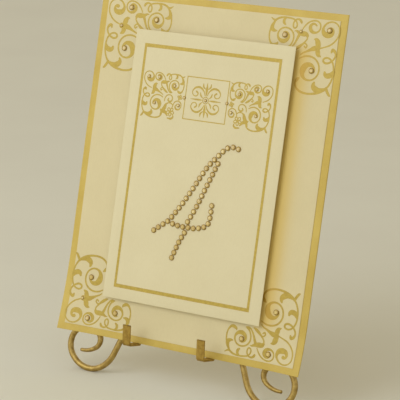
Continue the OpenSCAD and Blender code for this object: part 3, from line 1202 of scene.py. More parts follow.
@dataclass
class CardHooks:
    """The two hooks of flat strap: tab behind the card, shelf under it and finger in front.

    Args:
        width, thickness: size of the strap.
        spacing: distance between the middles of the two hooks.
        shift: how far the pair lies to the right of the easel's middle.
        tab_top, tab_depth: height of the tab's upper end and depth of its middle.
        bends: straight lengths and bends from the tab's top to the finger's end.
        edge: radius of the strap's rounded edges.
        softening: how far in, in radii of the edge, the rounding's middle ring lies.
    """

    width: float = 6.35
    thickness: float = 1.5
    spacing: float = 62.6
    shift: float = -3.6
    tab_top: float = 19.0
    tab_depth: float = 2.55
    bends: Sequence[Triple] = ((18.7, 1.25, 90), (11.8, 2.25, 80), (13.007, 0, 0))
    edge: float = 0.35
    softening: float = 0.3

    def middle(self, side: int) -> float:
        """Place across of the left hook, at side -1, or the right one, at side 1."""
        return self.shift + side * self.spacing / 2

    def strap(self) -> Shape:
        """One strap: a rounded section follows the line of bends, drawn in at both ends.

        Returns:
            The closed strap in u, v and w, its middle at u = 0.
        """
        edge, soft = self.edge, self.softening
        line = WirePath(self.bends, step=5).line()
        start, end = line[0], line[-1]
        onwards = np.array([math.cos(end[2]), math.sin(end[2]), 0])
        line = np.concatenate([
            [start, start + [soft * edge, 0, 0], start + [edge, 0, 0]], line[1:-1],
            [end - edge * onwards, end - soft * edge * onwards, end]])
        full = rounded_rectangle(self.width, self.thickness, edge, 3)
        nearly = rounded_rectangle(self.width - 2 * soft * edge, self.thickness - 2 * soft * edge,
                                   0.8 * edge, 3)
        small = rounded_rectangle(self.width - 2 * edge, self.thickness - 2 * edge, 0.05, 3)
        across, out = np.moveaxis(
            np.array([small, nearly] + [full] * (len(line) - 4) + [nearly, small]), -1, 0)
        x, y, heading = np.moveaxis(line[:, :, None], 1, 0)
        return tube_shape(np.stack([across, self.tab_top - (x - out * np.sin(heading)),
                                    y + out * np.cos(heading) - self.tab_depth], -1))

    def build(self, finishes: Finishes) -> None:
        """Builds and dresses both hooks.

        Args:
            finishes: the materials.
        """
        strap = self.strap()
        for side, name, node in ((-1, "left_hook_strap", "left_card_hook"),
                                 (1, "right_hook_strap", "right_card_hook")):
            Piece(name, Body.EASEL, Slot.STRAP, finishes.strap, (node,), Smooth.WIRE).make(
                CARD_PLANE.lay(strap.moved(self.middle(side), 0, 0)))


@dataclass
class RestBars:
    """The flat metal welded behind the legs and hooks: crossbar, rest plate and their weld beads.

    Args:
        bar: width and height of the crossbar.
        bar_middle: height of its middle above the card's lower edge.
        bar_depths: depths of its back and front.
        bar_corner, bar_bevel: radii of its corners and its rounded edges.
        plate, plate_middle, plate_depths, plate_corner, plate_bevel: the same of the rest plate.
        leg_foot: place of the leg's line at the card's lower edge, across.
        splay: lean of each leg from upright, in degrees.
        neck: distance of each neck wire from the middle.
        bead, bead_side, bead_sunk: radius of the wires' weld beads, and how far they lie from the
            wire's middle and behind the metal's back.
        leg_bead_half: half the height of a bead on a leg.
        plate_welds, bracket_welds: ends of the beads between neck wires and plate or bracket.
        bracket_weld_side, bracket_weld_depth: place of those at the bracket.
        hook_bead, hook_weld, hook_weld_gap: radius and ends of the beads beside a hook's tab, and
            their distance from the tab's side and the bar's front.
        tab_bead, tab_weld: radius of the bead along a tab's top; half its length, height and depth.
    """

    bar: Pair = (92.147, 10.0)
    bar_middle: float = 14.0
    bar_depths: Pair = (-4.8, -3.3)
    bar_corner: float = 0.9
    bar_bevel: float = 0.35
    plate: Pair = (24.0, 32.0)
    plate_middle: float = 144.0
    plate_depths: Pair = (-4.8, -1.8)
    plate_corner: float = 4.0
    plate_bevel: float = 0.6
    leg_foot: float = 51.5
    splay: float = 22.0
    neck: float = 6.0
    bead: float = 0.75
    bead_side: float = 1.65
    bead_sunk: float = 0.35
    leg_bead_half: float = 4.2
    plate_welds: Sequence[Pair] = ((130.5, 138.0), (149.5, 157.0))
    bracket_welds: Sequence[Pair] = ((128.5, 136.0), (148.0, 155.5))
    bracket_weld_side: float = 1.75
    bracket_weld_depth: float = -8.95
    hook_bead: float = 0.5
    hook_weld: Pair = (10.2, 17.6)
    hook_weld_gap: Pair = (0.15, 0.2)
    tab_bead: float = 0.6
    tab_weld: Triple = (2.4, 18.95, -3.3)

    def leg_beads(self) -> list[Shape]:
        """Beads at both sides of each leg where it crosses the bar, along the leg's lean.

        Returns:
            The four beads in u, v and w.
        """
        low, high = self.bar_middle - self.leg_bead_half, self.bar_middle + self.leg_bead_half
        depth, slope = self.bar_depths[0] - self.bead_sunk, math.tan(math.radians(self.splay))
        shapes = []
        for side in (-1, 1):
            for off in (-self.bead_side, self.bead_side):
                ends = [[side * (self.leg_foot - v * slope) + off, v, depth] for v in (low, high)]
                shapes.append(bead_shape(straight(*ends), self.bead))
        return shapes

    def neck_beads(self) -> list[Shape]:
        """Short upright beads that hold the neck wires to the plate, and the bracket to the wires.

        Returns:
            The beads in u, v and w.
        """
        shapes = []
        depth = self.plate_depths[0] - self.bead_sunk
        for side in (-1, 1):
            places = [(side * self.neck + off, weld, depth) for weld in self.plate_welds
                      for off in (-self.bead_side, self.bead_side)]
            places += [(side * (self.neck + self.bracket_weld_side), weld, self.bracket_weld_depth)
                       for weld in self.bracket_welds]
            shapes += [bead_shape(straight([u, low, w], [u, high, w]), self.bead)
                       for u, (low, high), w in places]
        return shapes

    def hook_beads(self, hooks: CardHooks) -> list[Shape]:
        """Beads round the tab of each hook on the bar's front.

        Args:
            hooks: the hooks.

        Returns:
            Two upright beads and one along the top of each tab.
        """
        beside, before = self.hook_weld_gap
        depth, half = self.bar_depths[1] + before, hooks.width / 2 + beside
        low, high = self.hook_weld
        reach, top, top_depth = self.tab_weld
        shapes = []
        for u in (hooks.middle(-1), hooks.middle(1)):
            for x in (-half, half):
                shapes.append(bead_shape(straight([u + x, low, depth], [u + x, high, depth]),
                                         self.hook_bead))
            shapes.append(bead_shape(straight([u - reach, top, top_depth],
                                              [u + reach, top, top_depth]),
                                     self.tab_bead))
        return shapes

    def build(self, finishes: Finishes, hooks: CardHooks) -> None:
        """Builds and dresses the bars and their beads.

        Args:
            finishes: the materials.
            hooks: the hooks that are welded to the bar.
        """
        bar = plate_shape(rounded_rectangle(*self.bar, self.bar_corner), *self.bar_depths,
                          self.bar_bevel)
        plate = plate_shape(rounded_rectangle(*self.plate, self.plate_corner, 10),
                            *self.plate_depths, self.plate_bevel)
        for name, node, shape, middle in (
                ("crossbar_strap", "lower_crossbar", bar, self.bar_middle),
                ("neck_rest_plate", "rest_plate", plate, self.plate_middle)):
            Piece(name, Body.EASEL, Slot.STRAP, finishes.strap, (node,), Smooth.PLATE).make(
                CARD_PLANE.lay(shape.moved(0, middle, 0)))
        beads = join(self.leg_beads() + self.neck_beads() + self.hook_beads(hooks))
        Piece("easel_weld_beads", Body.EASEL, Slot.STRAP, finishes.weld, smooth=Smooth.BEAD).make(
            CARD_PLANE.lay(beads))


@dataclass
class Hinge:
    """The bracket with its two ears, and the pin through them.

    Args:
        height, depth: place of the hinge axis along the card and behind it.
        sheet, sheet_depths: width and height of the bracket's sheet, depths of its back and front.
        sheet_corner, sheet_bevel: radii of its corners and its rounded edges.
        ear_inside, ear: distance of an ear's inner face from the middle, and its thickness.
        ear_radius, ear_edge: radius of an ear round the axis and size of its rounded edge.
        bead, bead_half, bead_off: radius of the bead along an ear's foot, half its length, and its
            distance from the ear's face and the sheet's.
        pin_radius: radius of the pin.
        head: radius and thickness of the pin's heads.
        dome: distance in from a head's top and radius of each ring of its domed face.
    """

    height: float = 142.0
    depth: float = -15.8
    sheet: Pair = (18.0, 30.0)
    sheet_depths: Pair = (-10.8, -9.3)
    sheet_corner: float = 1.5
    sheet_bevel: float = 0.35
    ear_inside: float = 5.3
    ear: float = 1.5
    ear_radius: float = 3.7
    ear_edge: float = 0.3
    bead: float = 0.55
    bead_half: float = 3.2
    bead_off: float = 0.15
    pin_radius: float = 1.5
    head: Pair = (2.7, 1.0)
    dome: Sequence[Pair] = ((0.0, 0.5), (0.03, 1.1), (0.14, 1.8), (0.36, 2.35))

    def ear_shape(self, inside: float, outside: float) -> Shape:
        """An ear with the pin's hole, round about the axis and square at the sheet.

        Args:
            inside, outside: places of its two faces across.

        Returns:
            The closed ear in u, v and w.
        """
        edge, soft = self.ear_edge, 0.3 * self.ear_edge
        reach = self.sheet_depths[0] - self.depth + edge
        corner = math.atan2(reach, self.ear_radius)
        angle = np.sort(np.append(np.arange(48) * 2 * np.pi / 48, [corner, np.pi - corner]))
        direction = np.stack([np.cos(angle), np.sin(angle)], -1)
        square = np.minimum(self.ear_radius / np.maximum(np.abs(direction[:, 0]), TINY),
                            reach / np.maximum(direction[:, 1], TINY))
        radius = np.where(direction[:, 1] > 0, square, self.ear_radius)
        rings = []
        for r, u in ((self.pin_radius, inside), (radius - edge, inside),
                     (radius - soft, inside + soft),
                     (radius, inside + edge), (radius, outside - edge),
                     (radius - soft, outside - soft),
                     (radius - edge, outside), (self.pin_radius, outside)):
            v, w = (direction * np.broadcast_to(r, len(angle))[:, None]).T
            rings.append(np.c_[np.full(len(angle), u), self.height + v, self.depth + w])
        return loop_shape(np.array(rings))

    def bracket(self) -> Shape:
        """The sheet, the ears on it and a bead along the foot of each ear.

        Returns:
            The bracket in u, v and w.
        """
        sheet = plate_shape(rounded_rectangle(*self.sheet, self.sheet_corner), *self.sheet_depths,
                            self.sheet_bevel)
        outside = self.ear_inside + self.ear
        parts = [sheet.moved(0, self.height, 0), self.ear_shape(self.ear_inside, outside),
                 self.ear_shape(-outside, -self.ear_inside)]
        for side in (-1, 1):
            u, w = side * (outside + self.bead_off), self.sheet_depths[0] - self.bead_off
            path = straight([u, self.height - self.bead_half, w],
                            [u, self.height + self.bead_half, w])
            parts.append(bead_shape(path, self.bead))
        return join(parts)

    def pin(self) -> Shape:
        """The pin, turned from one profile: a shank between two domed heads.

        Returns:
            The pin in u, v and w.
        """
        outside = self.ear_inside + self.ear
        radius, thickness = self.head
        half = [(outside + thickness - down, r) for down, r in self.dome]
        half += [(outside + 0.3, radius - 0.05), (outside + 0.12, radius), (outside, radius - 0.1),
                 (outside, self.pin_radius)]
        profile = [(-x, r) for x, r in half] + half[::-1]
        return tube_shape(turned_rings(profile, 40)).moved(0, self.height, self.depth)

    def build(self, finishes: Finishes) -> None:
        """Builds and dresses the bracket and the pin.

        Args:
            finishes: the materials.
        """
        for name, node, shape, slot, material in (
                ("hinge_clevis", "hinge_bracket", self.bracket(), Slot.STRAP, finishes.strap),
                ("hinge_rivet", "hinge_pin", self.pin(), Slot.PIN, finishes.brass)):
            Piece(name, Body.EASEL, slot, material, (node,), Smooth.PLATE).make(
                CARD_PLANE.lay(shape))


@dataclass
class RearLeg:
    """The rear leg: rod with its turned-up toe, the barrel on the pin and the stop heel.

    Args:
        hinge: the hinge that it turns on.
        tilt: lean of the rod from upright, in degrees.
        rod_start, rod_tip: distance from the axis to the rod's upper end, diameter of its end.
        bends: straight length and bend of the rod.
        barrel, barrel_edge: radius and half length of the barrel, size of its rounded edges.
        bore, bore_edge: radius of its bore, length and height of the bore's widened ends.
        heel, heel_bevel: half width and half thickness of the heel, radius of its rounded edges.
        heel_tops: heights of the heel's two upper edges above the axis.
        rod_weld: radius of the bead's ring round the rod, and the bead's own radius.
        rod_weld_rise: how far outside the barrel that bead's middle lies.
        heel_weld: half length and radius of the beads along the heel's foot.
        heel_weld_off: their distance out of the heel's face, and into the barrel.
    """

    hinge: Hinge
    tilt: float = 14.8727
    rod_start: float = 3.55
    rod_tip: float = 4.5
    bends: Sequence[Triple] = ((156.798, 8, 87.1273),)
    barrel: Pair = (3.5, 5.0)
    barrel_edge: float = 0.4
    bore: float = 1.55
    bore_edge: Pair = (0.35, 0.25)
    heel: Pair = (3.0, 1.0)
    heel_bevel: float = 0.2
    heel_tops: Pair = (7.771, 11.303)
    rod_weld: Pair = (2.4, 0.6)
    rod_weld_rise: float = 0.05
    heel_weld: Pair = (2.6, 0.5)
    heel_weld_off: Pair = (0.15, 0.1)

    def place(self, shape: Shape) -> Shape:
        """A shape put in its place: turned about the hinge axis by the tilt, above the ground.

        Args:
            shape: a shape drawn about the hinge axis, with the rod along -z.

        Returns:
            The shape in the part's frame.
        """
        axis = CARD_PLANE.place(np.array([0, self.hinge.height, self.hinge.depth]))
        s, c = math.sin(math.radians(self.tilt)), math.cos(math.radians(self.tilt))
        x, y, z = shape.points.T
        height = np.maximum(axis[2] + y * s + z * c, 0)
        return shape.mapped(np.stack([x, axis[1] + y * c - z * s, height], -1))

    def rod(self) -> Shape:
        """The rod and its toe: a wire along its line of one bend.

        Returns:
            The closed rod.
        """
        rings = WirePath(self.bends, tip=self.rod_tip).rings()
        x, y, z = np.moveaxis(rings, -1, 0)
        return tube_shape(np.stack([z, y, -self.rod_start - x], -1))

    def barrel_ring(self) -> Shape:
        """The barrel, turned from one profile: its bore and its softened ends.

        Returns:
            The closed barrel.
        """
        r, half = self.barrel
        edge, soft = self.barrel_edge, 0.3 * self.barrel_edge
        length, rise = self.bore_edge
        end = [(half - edge, r), (half - soft, r - soft), (half, r - edge),
               (half, self.bore + rise),
               (half - 0.15, self.bore + 0.07), (half - length, self.bore)]
        other = [(-x, radius) for x, radius in end[::-1]]
        return loop_shape(turned_rings(other[3:] + end + other[:3], 48))

    def heel_block(self) -> Shape:
        """The heel, cut off level with the bracket that it meets.

        Returns:
            The closed heel.
        """
        across, half = self.heel
        back, front = self.heel_tops
        outline = np.array([[-half, self.rod_start], [half, self.rod_start], [half, front],
                            [-half, back]])
        flat = plate_shape(outline, -across, across, self.heel_bevel)
        return flat.mapped(flat.points[:, [2, 0, 1]])

    def beads(self) -> Shape:
        """The weld that joins rod and barrel, on the curve where they meet, and the heel's two.

        The curve is a circle round the rod whose height is that of the barrel under it.

        Returns:
            The three beads.
        """
        round_rod, thick = self.rod_weld
        angle = np.arange(96) * 2 * np.pi / 96
        x, y = round_rod * np.cos(angle), round_rod * np.sin(angle)
        height = np.sqrt((self.barrel[0] + self.rod_weld_rise) ** 2 - y ** 2)
        shapes = [bead_shape(np.stack([x, y, -height], -1), thick, closed=True)]
        half, radius = self.heel_weld
        out, sunk = self.heel_weld_off
        for side in (-1, 1):
            y, z = side * (self.heel[1] + out), self.barrel[0] - sunk
            shapes.append(bead_shape(straight([-half, y, z], [half, y, z]), radius))
        return join(shapes)

    def build(self, finishes: Finishes) -> None:
        """Builds and dresses the rear leg.

        Args:
            finishes: the materials.
        """
        for name, nodes, shape, slot, material in (
                ("rear_leg_wire", ("rear_leg_rod",), self.rod(), Slot.WIRE, finishes.gold),
                ("rear_leg_sleeve", ("rear_leg_barrel",), self.barrel_ring(), Slot.WIRE,
                 finishes.gold),
                ("rear_leg_heel", ("rear_leg_stop_heel",), self.heel_block(), Slot.STRAP,
                 finishes.strap),
                ("rear_leg_weld_beads", (), self.beads(), Slot.WIRE, finishes.weld)):
            Piece(name, Body.REAR_LEG, slot, material, nodes).make(self.place(shape))


# --- Card ---


@dataclass
class CardStack:
    """The layers of the card: gold board, ivory panel and the raised ivory card on its foam.

    Args:
        width, board: width and thickness of the board.
        panel: thickness of the panel, whose front is at w = 0.
        border_side: width of the board's border at the sides.
        raised_width, raised_height: size of the raised card.
        raised_rise: height of its lower edge above the board's.
        raised_back, raised_front: places of its faces.
        foam_inset: distance of the foam strips from the raised card's edge.
        foam_width, foam_gap: width of the strips and the gap between two at a corner.
        paper_edge, board_edge: radii of the cut edges of the papers, and of board and foam.
        lap: how far the panel reaches into the board's place.
        shade_peak: strength of the warm shadow painted on the panel at the raised card's edge.
        shade_reach, shade_fall: distance at which it has fallen to about a third, and how suddenly.
        shade_fade: length over which it ends at the raised card's corners and under it.
        curls: side, length and height of the curl of each lower corner.
    """

    width: float = 203.2
    board: float = 1.2
    panel: float = 0.4
    border_side: float = 5.5
    raised_width: float = 132.0
    raised_height: float = 198.0
    raised_rise: float = 29.8
    raised_back: float = 3.2
    raised_front: float = 3.6
    foam_inset: float = 6.0
    foam_width: float = 12.0
    foam_gap: float = 2.0
    paper_edge: float = 0.12
    board_edge: float = 0.3
    lap: float = 0.02
    shade_peak: float = 0.85
    shade_reach: float = 10.5
    shade_fade: float = 8.0
    shade_fall: float = 2.5
    curls: Sequence[tuple[int, float, float]] = ((-1, 65.0, 5.4), (1, 40.0, 4.0))

    def curled(self, shape: Shape) -> Shape:
        """A shape whose lower corners curl forwards, as the card's own do.

        Beyond a line across each corner the lift grows with the square of the distance to it.

        Args:
            shape: a flat shape in u, v and w.

        Returns:
            The curled shape in u, v and w.
        """
        u, v, w = shape.points.T
        lift = np.zeros(len(u))
        corner = (self.width - self.raised_width) / 2 + self.raised_rise
        for side, reach, height in self.curls:
            beyond = side * u - self.raised_width / 2 + self.raised_rise - v
            lift += height * (np.clip(beyond - corner + reach, 0, None) / reach) ** 2
        return shape.mapped(np.stack([u, v, w + lift], -1))

    def painted_warm_shadow(self, shape: Shape) -> np.ndarray:
        """How strongly the warm shadow painted beside the raised card is laid on each point of a
        shape.

        At the distance d to the right of the raised card it is peak * exp(-(d / reach) ** fall),
        and it fades out within a few millimetres above and below the raised card and underneath it.

        Args:
            shape: a shape in the part's frame.

        Returns:
            Values from 0 to 1.
        """
        u, v, _ = np.moveaxis(CARD_PLANE.find(shape.points), -1, 0)
        away = u - self.raised_width / 2
        over = np.maximum(self.raised_rise - v, v - self.raised_rise - self.raised_height)
        ends = np.clip(0.5 - over / self.shade_fade, 0, 1)
        under = np.clip(1 + away / self.shade_fade, 0, 1)
        fall = np.exp(-(np.clip(away, 0, None) / self.shade_reach) ** self.shade_fall)
        return self.shade_peak * fall * ends * under

    def laid(self, flat: Shape) -> Shape:
        """A flat shape in u, v and w, curled and put on the card's plane."""
        return CARD_PLANE.lay(self.curled(flat))

    def foam(self) -> Shape:
        """The foam strips: two level ones at the ends and two upright ones between them.

        Returns:
            The strips on the card's plane.
        """
        low = self.raised_rise + self.foam_inset
        high = self.raised_rise + self.raised_height - self.foam_inset
        half, wide = self.raised_width / 2 - self.foam_inset, self.foam_width
        inner = wide + self.foam_gap
        strips = ((-half, half, low, low + wide), (-half, half, high - wide, high),
                  (-half, wide - half, low + inner, high - inner),
                  (half - wide, half, low + inner, high - inner))
        return self.laid(join(slab_shape(*strip, 0, self.raised_back, self.board_edge)
                              for strip in strips))

    def build(self, finishes: Finishes) -> None:
        """Builds and dresses the three sheets and the foam.

        Args:
            finishes: the materials.
        """
        half, raised = self.width / 2, self.raised_width / 2
        inner = half - self.border_side
        board = self.laid(slab_shape(-half, half, 0, CARD_HEIGHT, -self.panel - self.board,
                                     -self.panel, self.board_edge))
        panel = self.laid(slab_shape(-inner, inner, END_BORDER, CARD_HEIGHT - END_BORDER,
                                     -self.panel - self.lap, 0, self.paper_edge, cell=2.5))
        card = self.laid(slab_shape(-raised, raised, self.raised_rise,
                                    self.raised_rise + self.raised_height, self.raised_back,
                                    self.raised_front, self.paper_edge))
        for name, node, shape, slot, material, shade in (
                ("mounting_foam", "foam_strips", self.foam(), Slot.FOAM, finishes.foam, None),
                ("gold_board", "gold_backing_board", board, Slot.BOARD, finishes.board, None),
                # The panel carries the warm shadow painted beside the raised card
                ("ivory_sheet", "ivory_panel", panel, Slot.IVORY, finishes.panel,
                 self.painted_warm_shadow(panel)),
                ("raised_sheet", "raised_card", card, Slot.IVORY, finishes.card, None)):
            Piece(name, Body.CARD, slot, material, (node,)).make(shape, shade=shade)


@dataclass(frozen=True)
class Stroke:
    """A printed line that swells and narrows.

    Args:
        points: places across and along with the line's width there.
    """

    points: Sequence[Triple]

    def redrawn(self, scale: Pair = (1, 1), shift: Pair = (0, 0), gain: float = 1.0,
                extra: float = 0.0) -> "Stroke":
        """The same line elsewhere: places times scale plus shift, widths times gain plus extra.

        Args:
            scale, shift: scale and shift of the places, across and along.
            gain, extra: scale of the widths and what is added to them.

        Returns:
            The new line.
        """
        return Stroke(np.array(self.points) * [*scale, gain] + [*shift, extra])

    def ribbon(self, steps: int = 6, ink: float = 0.05, thinnest: float = 0.25) -> Shape:
        """The line as a low ridge of ink with round ends.

        The ridge stands on z = 0: its sides rise to 0.7 of the ink's height and its middle to all.

        Args:
            steps: how many points there are between two given ones.
            ink: height of the ridge.
            thinnest: least width of the line.

        Returns:
            The closed ridge.
        """
        curve = smooth_line(self.points, steps)
        curve[:, 2] = np.maximum(curve[:, 2], thinnest)
        slope = np.gradient(curve[:, :2], axis=0)
        slope /= np.maximum(np.linalg.norm(slope, axis=1, keepdims=True), TINY)
        cap = np.radians([78, 52, 26])
        head = self._cap(curve[0], -slope[0], cap)
        tail = self._cap(curve[-1], slope[-1], cap)[::-1]
        curve = np.concatenate([head, curve, tail])
        slope = np.concatenate([np.repeat(slope[:1], 3, 0), slope, np.repeat(slope[-1:], 3, 0)])
        side = np.stack([-slope[:, 1], slope[:, 0]], -1)
        across = np.array([-0.5, -0.5, 0.0, 0.5, 0.5])
        height = np.array([-INK_SUNK, ink * 0.7, ink, ink * 0.7, -INK_SUNK])
        xy = curve[:, None, :2] + side[:, None] * across[None, :, None] * curve[:, None, 2:]
        z = np.broadcast_to(height, xy.shape[:2])
        return tube_shape(np.concatenate([xy, z[..., None]], -1)[:, ::-1])

    @staticmethod
    def _cap(end: np.ndarray, outwards: np.ndarray, angles: np.ndarray) -> np.ndarray:
        """Rows beyond an end of the line that round it off with a half circle.

        Args:
            end: place and width of the line's end.
            outwards: direction away from the line.
            angles: places on the half circle, the farthest first.

        Returns:
            Rows of place across, place along and width.
        """
        reach = end[2] / 2 * np.sin(angles)
        return np.stack([end[0] + outwards[0] * reach, end[1] + outwards[1] * reach,
                         end[2] * np.cos(angles)], -1)


def ring_stroke(x: float, y: float, radius: float, width: float) -> Stroke:
    """A ring: points on a circle, the last one where the first is.

    Args:
        x, y: its middle.
        radius: radius of the ring's line.
        width: width of the line.

    Returns:
        The stroke.
    """
    angle = np.linspace(0, 2 * np.pi, 13)
    return Stroke(np.stack([x + radius * np.cos(angle), y + radius * np.sin(angle),
                            np.full(len(angle), width)], -1))


def rosette(x: float, y: float, petals: int, reach: float, width: float) -> list[Stroke]:
    """A small flower: one looped petal, turned evenly about the middle.

    Args:
        x, y: its middle.
        petals: how many petals there are.
        reach: length of a petal.
        width: width of its line.

    Returns:
        One stroke to a petal.
    """
    strokes = []
    loop = np.array([[0.12, 0], [0.45, 0.26], [0.8, 0.27], [1.0, 0], [0.8, -0.27], [0.45, -0.26],
                     [0.12, 0]]) * reach
    for k in range(petals):
        a = 2 * math.pi * (k + 0.25) / petals
        turn = np.array([[math.cos(a), math.sin(a)], [-math.sin(a), math.cos(a)]])
        strokes.append(Stroke(np.c_[loop @ turn + [x, y], np.full(len(loop), width)]))
    return strokes


# The corner scroll, as distances in from the board's side and end, each with the line's width
CORNER_SCROLL = tuple(Stroke(rows) for rows in (
    ((16.9, 24.5, .7), (14.4, 23.6, .8), (11.5, 22.2, .9), (8.4, 19.4, .9), (6.3, 15.8, .9),
     (5.9, 12.0, .85), (6.8, 8.9, .8), (9.4, 6.7, .8), (12.9, 6.2, .85), (16.2, 7.5, 1.0),
     (18.4, 10.2, 1.3), (18.6, 12.8, 2.1), (17.2, 14.9, 3.0), (14.8, 15.6, 3.4), (12.2, 15.2, 2.8),
     (10.9, 13.7, 2.0), (10.9, 12.0, 1.5), (12.0, 11.0, 1.6), (13.2, 11.2, 2.2)),
    ((35.0, 14.0, .5), (33.2, 10.9, .8), (30.6, 8.2, .85), (27.3, 6.7, .85), (24.0, 6.6, .85),
     (21.6, 8.2, .85), (20.9, 10.9, .85), (21.8, 13.3, .9), (24.0, 14.7, 1.2), (26.7, 14.5, 1.9),
     (28.5, 12.8, 2.2), (28.8, 10.6, 1.9), (27.5, 9.0, 1.4), (25.6, 8.8, 1.1), (24.0, 9.9, .8)),
    ((36.2, 8.8, 1.3), (36.9, 7.6, 1.5), (38.7, 6.7, 1.1), (40.9, 7.3, .9), (42.4, 9.6, .9),
     (42.2, 12.2, .9), (40.9, 13.1, .9), (39.6, 11.9, .9), (39.7, 9.6, .9), (41.6, 7.4, .9),
     (44.9, 6.5, .9), (49.2, 6.3, 1.0), (53.1, 6.8, 1.1), (56.3, 8.5, 1.2), (58.7, 11.8, 1.1),
     (60.1, 15.6, 1.0), (60.5, 19.4, .9), (59.8, 23.0, .9), (57.9, 25.8, 1.4), (55.7, 26.3, 2.0),
     (53.6, 25.3, 1.6), (53.0, 24.2, .7)),
    ((56.5, 8.7, 1.1), (58.4, 8.6, 1.0), (60.4, 7.4, .4)),
    ((48.6, 6.4, .9), (50.1, 8.0, 1.6), (50.0, 10.0, 1.7), (48.8, 11.2, 1.0)),
    ((57.0, 9.3, 1.0), (58.6, 12.2, 1.9), (58.9, 14.9, 2.6), (57.0, 16.2, 1.8), (54.8, 16.3, .5)),
    ((44.6, 27.0, 1.2), (42.6, 25.2, 1.0), (41.2, 22.2, .9), (41.0, 18.8, .9), (42.4, 15.8, .9),
     (45.1, 13.9, .9), (48.6, 13.4, .9), (51.8, 14.7, .9), (53.6, 17.6, 1.0), (53.3, 20.4, 1.3),
     (51.5, 22.4, 2.0), (48.8, 23.0, 2.6), (46.3, 21.9, 2.3), (44.9, 19.8, 1.6), (45.4, 17.6, 1.2),
     (47.3, 16.3, .9), (49.2, 16.5, .6)),
    ((41.2, 26.6, .5), (43.4, 27.2, 1.5), (45.6, 27.4, .6)),
    ((30.3, 17.6, 1.8), (31.5, 16.6, 2.7), (34.2, 16.4, 3.0), (36.9, 16.0, 2.1), (39.4, 14.9, 1.0),
     (40.8, 15.1, .3)),
    ((30.6, 17.2, 1.2), (30.1, 19.4, .8), (31.2, 21.4, .9), (33.2, 23.6, 1.2), (35.6, 25.6, 1.8),
     (38.2, 27.3, 1.4), (39.6, 27.8, .4)),
    ((36.2, 16.2, 2.0), (37.4, 18.8, 1.6), (38.6, 21.8, 1.2), (40.2, 24.8, 1.0), (42.4, 27.2, .5)),
    ((33.2, 23.4, .8), (31.2, 23.0, .8), (29.7, 24.4, .9), (30.4, 25.9, .9), (31.7, 25.0, .8)),
    ((20.6, 27.0, 2.2), (20.9, 23.8, 3.1), (21.6, 21.2, 3.3), (22.9, 19.6, 2.2), (24.6, 19.2, .5)),
    ((21.2, 26.0, 2.6), (20.6, 28.2, 3.0), (19.8, 30.0, 2.4), (18.0, 31.0, .6)),
    ((20.5, 25.4, 2.2), (23.4, 25.7, 3.0), (26.4, 26.9, 1.9), (29.4, 28.4, 1.1), (32.0, 29.6, .8),
     (33.6, 31.0, .5)),
    ((34.0, 33.6, .6), (31.3, 32.2, .9), (28.0, 31.5, 1.0), (24.4, 31.9, 1.0), (21.2, 33.5, 1.0),
     (18.9, 36.2, 1.0), (17.9, 39.6, 1.0), (18.3, 43.2, 1.0), (20.1, 46.1, 1.0), (22.9, 47.9, 1.0),
     (26.1, 48.2, 1.1), (28.9, 47.0, 1.6), (30.5, 44.5, 2.7), (30.5, 41.4, 3.7), (29.2, 38.9, 3.7),
     (26.9, 37.5, 2.9), (24.3, 37.5, 2.1), (22.3, 38.9, 1.4), (21.4, 40.8, .9), (21.6, 42.4, .6)),
    ((10.0, 27.2, 1.0), (9.3, 25.6, 2.0), (7.4, 26.4, 1.6), (6.5, 28.8, 1.1), (7.4, 31.6, 1.0),
     (9.8, 34.0, 1.1), (12.8, 35.1, 1.2), (15.2, 34.2, 1.2), (15.2, 32.2, 1.1), (12.9, 31.2, 1.0),
     (10.2, 32.0, 1.0), (8.2, 34.0, 1.0), (6.9, 37.0, 1.0), (6.5, 40.6, 1.0), (6.7, 44.4, 1.0),
     (7.7, 48.0, 1.0), (9.6, 51.4, 1.1), (12.4, 54.0, 1.4), (16.0, 55.9, 1.5), (20.0, 57.1, 1.3),
     (24.4, 57.6, 1.1), (28.6, 57.2, 1.2), (32.0, 55.9, 1.2), (34.4, 53.6, 1.0), (35.0, 50.8, 1.0),
     (33.9, 48.4, 1.9), (32.6, 47.4, .8)),
    ((6.9, 40.6, 1.6), (8.3, 42.8, 3.0), (10.7, 43.7, 3.0), (12.5, 43.0, 2.5), (13.2, 41.4, 1.3)),
    ((11.6, 53.2, 1.6), (15.6, 54.4, 2.8), (18.4, 54.0, 3.5), (20.4, 52.4, 3.1), (20.7, 50.6, 2.1),
     (20.3, 49.3, 1.2)),
    ((10.6, 52.4, 1.6), (9.2, 54.8, 1.6), (7.9, 56.6, 1.5), (7.0, 57.3, .9)),
))

# The ring under the small stone of the left corners, and the stem in its place at the right
LEAF_RING = ring_stroke(18.4, 25.2, 1.6, .7)
LEAF_STEM = Stroke(((21.0, 25.8, 1.2), (18.9, 25.2, .8), (16.9, 24.5, .7)))

